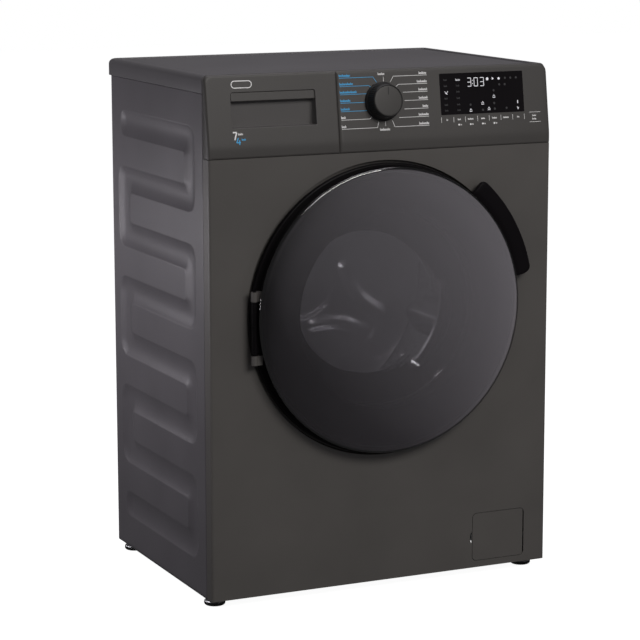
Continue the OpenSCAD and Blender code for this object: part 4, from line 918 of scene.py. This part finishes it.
# %% [markdown]
# ## The door
#
# The door is a black ring with a smoked cover in front and a glass bowl behind. All three are turned
# shapes: a section is drawn once and carried round the door's axis. The handle is a section too,
# carried along a part of the same circle and drawn in at its ends. Spinning a mesh by hand would give
# the same shape, but a formula keeps the sections easy to change.

# %% Ring, cover and bowl
ring_section = softened([(157, -1), (232.6, -1), (233, 0), (233, 4.2), (231, 6), (220.5, 6), (219.5, 8.5),
                         (219.5, 22), (217, 25.8), (161, 25.8), (157, 24)],
                         (0.5, 0.4, 0.5, 1.2, 1.2, 1.2, 1.5, 2, 2, 2, 1.5), 5, closed=True)
surface("door_ring_moulding", turned(ring_section, 240), door_black, "door", ("door_ring",),
        round_rows=True, round_columns=True)
cover_section = softened([(0, 26), (DISC_R - 1.6, 26), (DISC_R, 27.2), (DISC_R, PROUD - 3),
                          (DISC_R - 2.2, PROUD - 1), (DISC_R * 0.6, PROUD - 0.3), (0, PROUD)],
                          (1, 1, 0.8, 1.5, 2, 40, 1), 6)
surface("door_cover", turned(cover_section, 240), smoked_glass, "door", ("door_disc",),
        round_columns=True)
bowl_section = softened([(0, -108), (101, -105), (121, -96), (146.5, -40), (153.5, -3), (163, -2),
                         (163, -1.2), (149, -1.2), (141.5, -38), (117, -92), (100, -100), (0, -103)],
                         (1, 20, 14, 12, 5, 0.6, 0.6, 5, 12, 14, 20, 1), 8)
surface("door_bowl", turned(bowl_section, 160), bowl_glass, "door", ("door_glass",),
        round_columns=True)

# %% Handle
HANDLE_ANGLE, HANDLE_HALF = 30.0, 20.0
handle_section = softened([(219.4, 5.6), (236, 5.6), (241, 12.4), (256, 12.6), (260, 15.5), (260, 19),
                           (256.5, 22), (238, 22), (231, 20.2), (228, 19.2), (219.4, 14)],
                           (0.8, 1.5, 2, 1.5, 1.5, 1.5, 2, 2.5, 1, 1, 1), 5, closed=True)
swing = np.linspace(-1, 1, 61)
swing = np.sign(swing) * (1 - (1 - np.abs(swing)) ** 1.6)
beyond = np.clip((np.abs(swing) - 0.88) / 0.12, 0, 1)
outer_limit = 260 - np.where(swing < 0, 13, 7) * (1 - np.sqrt(1 - beyond ** 2))
angle = np.radians(HANDLE_ANGLE + HANDLE_HALF * swing)[:, None]
radius = 219.4 + (handle_section[None, :, 0] - 219.4) * ((outer_limit - 219.4) / (260 - 219.4))[:, None]
proud = 13.5 + (handle_section[None, :, 1] - 13.5) * (1 - 0.10 * beyond[:, None] ** 4)
handle_grid = np.stack([radius * np.cos(angle), FRONT - proud, DOOR_Z + radius * np.sin(angle)], axis=-1)
ends = [np.repeat(handle_grid[k:k + 1].mean(axis=1, keepdims=True), handle_grid.shape[1], axis=1)
        for k in (0, 60)]
surface("handle_grip", np.concatenate([ends[0], handle_grid, ends[1]]), handle_black, "handle",
        ("door_handle",), round_columns=True)

# %% [markdown]
# ## The gasket, the drum and its lifters
#
# The rubber gasket joins the cabinet's opening to the tub; here it is one still turned piece, given
# to no body. The drum is perforated stainless steel. Cutting its thousands of holes would make a very
# heavy mesh, so they are drawn in the material, on a map that runs round and along the drum in
# metres. The arms pressed into its back are real relief.


# %% Gasket
NECK, MOUTH = 167.0, 172.0
gasket_section = softened([(NECK + 0.2, -10.5), (NECK + 4, -10.5), (NECK + 4, -23), (NECK + 19, -30),
                           (NECK + 22, -44), (MOUTH + 10, -63.5), (MOUTH + 10, -69.5), (MOUTH + 4, -74.5),
                           (MOUTH + 4, -78.1), (168.4, -78.1), (168.4, -70.1), (174, -65.5),
                           (NECK + 18, -44), (NECK + 15, -33), (NECK - 4, -25), (150.5, -42), (147.6, -41),
                           (148.2, -37), (NECK - 7.4, -21), (NECK - 6.4, -19), (NECK - 4, -11),
                           (165.8, -11), (165.8, -20.2), (NECK + 0.2, -20.2)], 2.2, 5, closed=True)
gasket = surface("gasket_folds", turned(gasket_section, 160), gasket_rubber, None,
                 ("door_gasket",), round_rows=True, round_columns=True)
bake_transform(gasket)


# %% Perforated steel
def perforated(name, base, pitch, hole):
    """Steel whose map holds staggered rows of holes. A hole is where the distance to the nearest
    lattice point is less than its radius: there the colour is darkened as painted shade for the gap
    seen through it, and the surface dips."""
    material = finish(name, base, 0.26, grain=700, bump=0.1, stretch=(0.05, 1, 1), Metallic=1.0)
    tree = material.node_tree
    shader = tree.nodes["Principled BSDF"]
    chart = node(tree, "ShaderNodeUVMap", uv_map="along_the_surface").outputs[0]
    axes = node(tree, "ShaderNodeSeparateXYZ", {0: chart})
    row = node(tree, "ShaderNodeMath", {0: axes.outputs[1], 1: pitch}, operation="DIVIDE").outputs[0]
    whole = node(tree, "ShaderNodeMath", {0: row}, operation="FLOOR").outputs[0]
    shift = node(tree, "ShaderNodeMath", {0: whole, 1: 0.5}, operation="MULTIPLY").outputs[0]
    place = node(tree, "ShaderNodeMath", {0: axes.outputs[0], 1: pitch}, operation="DIVIDE").outputs[0]
    place = node(tree, "ShaderNodeMath", {0: place, 1: shift}, operation="ADD").outputs[0]
    cell = [node(tree, "ShaderNodeMath", {0: v}, operation="FRACT").outputs[0] for v in (place, row)]
    away = [node(tree, "ShaderNodeMath", {0: v, 1: 0.5}, operation="SUBTRACT").outputs[0] for v in cell]
    point = node(tree, "ShaderNodeCombineXYZ", {0: away[0], 1: away[1]}).outputs[0]
    span = node(tree, "ShaderNodeVectorMath", {0: point}, operation="LENGTH").outputs[1]
    rim = node(tree, "ShaderNodeMapRange", {0: span, 1: hole * 0.75, 2: hole * 1.25, 3: 0.0, 4: 1.0},
               clamp=True).outputs[0]
    plain = shader.inputs["Base Color"].links[0].from_socket
    # Painted shade: inside each hole the steel's colour is scaled down to black, standing in for the unlit
    # gap behind it.
    hole_shade = node(tree, "ShaderNodeVectorMath", {0: plain, 3: rim}, operation="SCALE").outputs[0]
    tree.links.new(hole_shade, shader.inputs["Base Color"])
    bump = shader.inputs["Normal"].links[0].from_node
    dip = node(tree, "ShaderNodeBump", {"Strength": 0.7, "Distance": 0.0012, "Height": rim,
                                        "Normal": bump.outputs[0]})
    tree.links.new(dip.outputs[0], shader.inputs["Normal"])
    return material


drum_steel = perforated("drum_steel", (0.50, 0.50, 0.51), 0.0205, 0.095)
pressed_steel = finish("pressed_steel", (0.50, 0.50, 0.51), 0.40, grain=500, bump=0.08, stretch=(1, 1, 0.05),
                       Metallic=0.85)
print("steels:", drum_steel.name, pressed_steel.name)

# %% Drum shell and back
DRUM_R = drum_high[0]
DRUM_FRONT, DRUM_BACK = drum_low[1], drum_high[1]
around = np.linspace(0, 2 * np.pi, 181)[None, :]
along = np.linspace(DRUM_FRONT, DRUM_BACK, 30)[:, None]
shell = np.stack(np.broadcast_arrays(DRUM_R * np.cos(around), along, DOOR_Z + DRUM_R * np.sin(around)),
                 axis=-1)
chart = np.stack(np.broadcast_arrays(DRUM_R * MM * around, along * MM + 1.0), axis=-1)
drum_wall = surface("drum_wall", shell, drum_steel, "drum", ("drum_shell",), closed=False,
                    uv=chart)
thick = drum_wall.modifiers.new("sheet_metal", "SOLIDIFY")
thick.thickness, thick.offset = 0.0012, -1.0


def arm_line(turn, mirror):
    """One edge of a pressed arm, as points in the drum's plane: a quadratic curve that starts by the
    hub and ends near the rim, mirrored about the arm's own direction for the other edge."""
    t = np.linspace(0, 1, 40)[:, None]
    start, bend, stop = np.array([70.0, 56.0]), np.array([112.0, 18.0]), np.array([170.0, 22.0])
    points = (1 - t) ** 2 * start + 2 * t * (1 - t) * bend + t ** 2 * stop
    points = points * np.array([1, mirror])
    c, d = np.cos(turn), np.sin(turn)
    return points @ np.array([[c, d], [-d, c]])


radii = np.concatenate([np.linspace(0, 56, 8), np.linspace(60, DRUM_R - 6, 74),
                        [DRUM_R - 3, DRUM_R - 0.5, DRUM_R]])[:, None]
angles = np.linspace(0, 2 * np.pi, 300, endpoint=False)[None, :]
plane_x, plane_z = radii * np.cos(angles), radii * np.sin(angles)
arms = np.concatenate([arm_line(np.radians(-31 + 120 * k), m) for k in range(3) for m in (-1, 1)])
gap = np.hypot(plane_x[..., None] - arms[:, 0], plane_z[..., None] - arms[:, 1]).min(axis=-1)
ridge = 7.0 * (1 - np.clip(gap / 15.0, 0, 1) ** 2) ** 2
hub = 11.0 * (1 / (1 + np.exp(-(70 - radii) / 3.0)))
front_side = DRUM_BACK - 1.2 - np.maximum(ridge * (radii < DRUM_R - 5), hub)
plate_front = np.stack([plane_x, front_side, DOOR_Z + plane_z], axis=-1)
plate_rear = plate_front[::-1] + np.array([0, 1.2, 0])
surface("drum_back_plate", np.concatenate([plate_front, plate_rear]), pressed_steel, "drum",
        ("drum_back",), round_columns=True)


# %% Lifters
def lifter(middle):
    """A smooth ridge inside the drum. Its height is the full height times one minus the offset to the
    power 1.8, times a factor that falls to zero at both ends like a superellipse."""
    s = np.linspace(-1, 1, 44)[:, None]
    a = np.linspace(-1, 1, 22)[None, :]
    rise = 42 * (1 - np.abs(a) ** 1.8) * (1 - np.abs(s) ** 5) ** 0.6
    y = (DRUM_FRONT + DRUM_BACK) / 2 + s * (DRUM_BACK - DRUM_FRONT - 36) / 2 + 0 * a
    base = DRUM_R - 1.25
    upper_angle = np.radians(middle + 8.2 * a * (1 - 0.25 * np.abs(s) ** 6))
    top = np.stack([(base - rise) * np.cos(upper_angle), y, DOOR_Z + (base - rise) * np.sin(upper_angle)],
                   axis=-1)
    under = np.stack([base * np.cos(upper_angle), y, DOOR_Z + base * np.sin(upper_angle)], axis=-1)[:, ::-1]
    return np.concatenate([top, under], axis=1)


surface("drum_paddles", [lifter(m) for m in (-18, 102, 222)], stainless, "drum",
        ("drum_lifters",), round_columns=True)

# %% [markdown]
# ## Springs, hoses and dampers
#
# The tub hangs from two coil springs, stands on two dampers and is fed by corrugated hoses. Each of
# these joins the still cabinet to the moving tub; here each is one still tube, given to no body. A
# curve with a round bevel could draw them, but a tube along a worked-out path also takes the
# corrugation and the change from rod to cylinder.

# %% Coil springs
spring_low, spring_high = box_mm("suspension_springs")
COILS, COIL_R, WIRE_R = 14, 9, 1.7
for side, name in ((-1, "spring_left"), (1, "spring_right")):
    t = np.linspace(0, 1, 420)
    coil = COIL_R * np.clip(np.minimum(t - 0.04, 0.96 - t) / 0.05, 0, 1)
    turn = 2 * np.pi * COILS * t
    share = 0.5 + 0.5 * np.sign(t - 0.5) * np.abs(2 * t - 1) ** 0.8
    z = spring_low[2] + (spring_high[2] - spring_low[2]) * share
    path = np.stack([side * (HALF_W - 23) + coil * np.cos(turn), 15 + coil * np.sin(turn), z], axis=1)
    spring = surface(name, tube(path, WIRE_R, 8), zinc_steel, None,
                     ("suspension_springs",) if side < 0 else (), round_columns=True)
    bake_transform(spring)

# %% Dampers
for side, name in ((-1, "damper_left"), (1, "damper_right")):
    foot, head = np.array([side * 223.0, 15, 41]), np.array([side * 128.0, 15, 227])
    t = np.concatenate([[0, 0.0, 0.03, 0.5], np.linspace(0.52, 0.56, 4), [0.58, 0.9, 0.95]])
    radius = np.array([0, 11, 13, 13, 13, 12.2, 10, 7, 5, 5, 5])
    share = np.linspace(0, 0.95, 60)
    path = foot + (head - foot) * share[:, None]
    damper = surface(name, tube(path, np.interp(share, t, radius), 24), black_plastic, None,
                     ("dampers",) if side < 0 else (), round_columns=True)
    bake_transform(damper)

# %% Hoses
hose_high = box_mm("tub_hoses")[1]
fill_z = np.linspace(698.6, hose_high[2], 60)
fill_path = np.stack(np.broadcast_arrays(-186.0, -69.0, fill_z), axis=1)
fill_r = 10.6 + 1.3 * np.cos(np.linspace(0, 2 * np.pi * 7, 60))
fill = surface("fill_bellows", tube(fill_path, fill_r, 24), hose_rubber, None,
               ("tub_hoses",), round_columns=True)
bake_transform(fill)
SUMP_Y, BEND_R = -103.0, 22
drop = np.stack(np.broadcast_arrays(100.0, SUMP_Y, np.linspace(208.5, 89.5, 40)), axis=1)
bend = np.linspace(0, np.pi / 2, 24)[1:]
elbow_x, elbow_z = 122 - BEND_R * np.cos(bend), 89.5 - BEND_R * np.sin(bend)
elbow = np.stack(np.broadcast_arrays(elbow_x, SUMP_Y, elbow_z), axis=1)
level_run = np.stack(np.broadcast_arrays(np.linspace(123, 181, 20), SUMP_Y, 67.5), axis=1)
sump_path = np.concatenate([drop, elbow, level_run])
travelled = np.concatenate([[0], np.cumsum(np.linalg.norm(np.diff(sump_path, axis=0), axis=1))])
sump_r = 12.1 + 0.9 * np.cos(travelled * 2 * np.pi / 9)
sump = surface("sump_hose", tube(sump_path, sump_r, 24), hose_rubber, None,
               round_columns=True)
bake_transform(sump)

# %% [markdown]
# ## Feet and fastenings
#
# Each foot is a rubber pad on a threaded stud. The thread is a true helix: the radius is a wave of
# the height less the turn, so the crest climbs one pitch with each turn. The rear panel is held by
# sheet-metal screws along its edges and has four caps over the transit bolts' holes. Those heads are
# small turned shapes, and all of one kind make one mesh.


# %% Feet
def foot(x, y):
    """A turned foot: pad, shoulder and a thread of one and a half millimetres' pitch."""
    outline = softened([(0, 0), (15, 0), (17, 2), (17, 6.6), (14, 9), (5, 9)], (1, 0.8, 1, 1.5, 1, 0.5), 4)
    stud_z = np.arange(9.3, 44.5, 0.3)
    stud = np.stack([np.full(len(stud_z), 4.8), stud_z], axis=1)
    outline = np.concatenate([outline, stud, [(4.2, 45), (0, 45)]])
    turn = np.linspace(0, 2 * np.pi, 28, endpoint=False)[None, :]
    r, z = outline[:, 0:1], outline[:, 1:2]
    thread = 0.32 * np.cos(2 * np.pi * z / 1.5 - turn) * ((z > 9.4) & (z < 44.6))
    return np.stack([x + (r + thread) * np.cos(turn), y + (r + thread) * np.sin(turn), z + 0 * turn], axis=-1)


PAD_TOP = 6.4
for end, end_letter in (("front", "f"), ("rear", "r")):
    for side, side_letter in (("left", "l"), ("right", "r")):
        name = "foot_" + end + "_" + side
        low, high = box_mm(name)
        made = surface("levelling_" + name, foot((low[0] + high[0]) / 2, (low[1] + high[1]) / 2), foot_rubber,
                       "foot_" + end_letter + side_letter, (name,), round_columns=True)
        made.data.materials.append(zinc_steel)
        high_up = np.array([p.center[2] for p in made.data.polygons]) > PAD_TOP * MM
        made.data.polygons.foreach_set("material_index", high_up.astype(np.int32))


# %% Rear screws and transit caps
def buttons(places, section, rear, sides=20):
    """Small turned heads on the rear panel: one section of (radius, height) carried round an axis
    along +Y at each place."""
    section = np.array(section, float)
    turn = np.linspace(0, 2 * np.pi, sides, endpoint=False)[None, :]
    r, out = section[:, 0:1], section[:, 1:2]
    return [np.stack([x + r * np.cos(turn), rear + out + 0 * turn, z + r * np.sin(turn)], axis=-1)
            for x, z in places]


REAR = side_high[1] - 1.0
edge_places = [(side * 291, z) for side in (-1, 1) for z in (60, 240, 420, 600, 780)]
edge_places += [(x, 800) for x in (-180, -60, 60, 180)]
screw_head = [(0, 0), (4.2, 0), (4.2, 0.9), (3.2, 1.9), (1.6, 2.3), (1.5, 1.2), (0, 1.2)]
surface("rear_screws", buttons(edge_places, screw_head, REAR + 0.9, 16), zinc_steel, "cabinet",
        round_columns=True)
cap_places = [(x, z) for x in (-215, 215) for z in (330, 600)]
cap = [(0, 0), (17, 0), (17, 1.6), (15, 3.2), (9, 3.6), (8, 2.2), (0, 2.2)]
surface("transit_caps", buttons(cap_places, cap, REAR, 40), black_plastic, "cabinet",
        round_columns=True)

# %% [markdown]
# ## Finishes for the pieces that keep their shape
#
# Panels, brackets, shafts and housings from the engineering model are right as they are, and making
# them again would gain nothing. Each gets the finish of its real material.


# %% Dress the model's own pieces
def dress(material, *names):
    """Gives the named model pieces a finish."""
    for name in names:
        for place in nodes[name].material_slots:
            place.material = material


# The front's copy of the cabinet paint carries painted shade.
dress(front_paint, "front_panel", "filter_flap", "hinge_bracket")
dress(side_paint, "rear_panel")
dress(zinc_steel, "base_frame", "top_crossbars", "gasket_band", "lock_nuts", "latch_hook")
dress(door_black, "door_hinge_leaf")
dress(circuit_green, "control_board")
dress(white_plastic, "dispenser_housing", "inlet_valve", "drawer_tray", "filter_cap")
dress(blue_plastic, "siphon_cap")
dress(hose_rubber, "fill_hose", "drain_hose", "shaft_seal", "drive_belt")
dress(black_plastic, "cable_gland", "door_lock", "drain_pump", "door_inner_frame")
dress(tub_plastic, "filter_housing", "tub_front", "tub_rear")
dress(concrete, "counterweight_upper", "counterweight_lower")
dress(stainless, "heater", "drum_bearings", "drum_front", "drum_shaft", "motor_rotor")
dress(cast_aluminium, "motor_housing", "drum_spider", "drum_pulley")
print("materials in all:", len(bpy.data.materials))
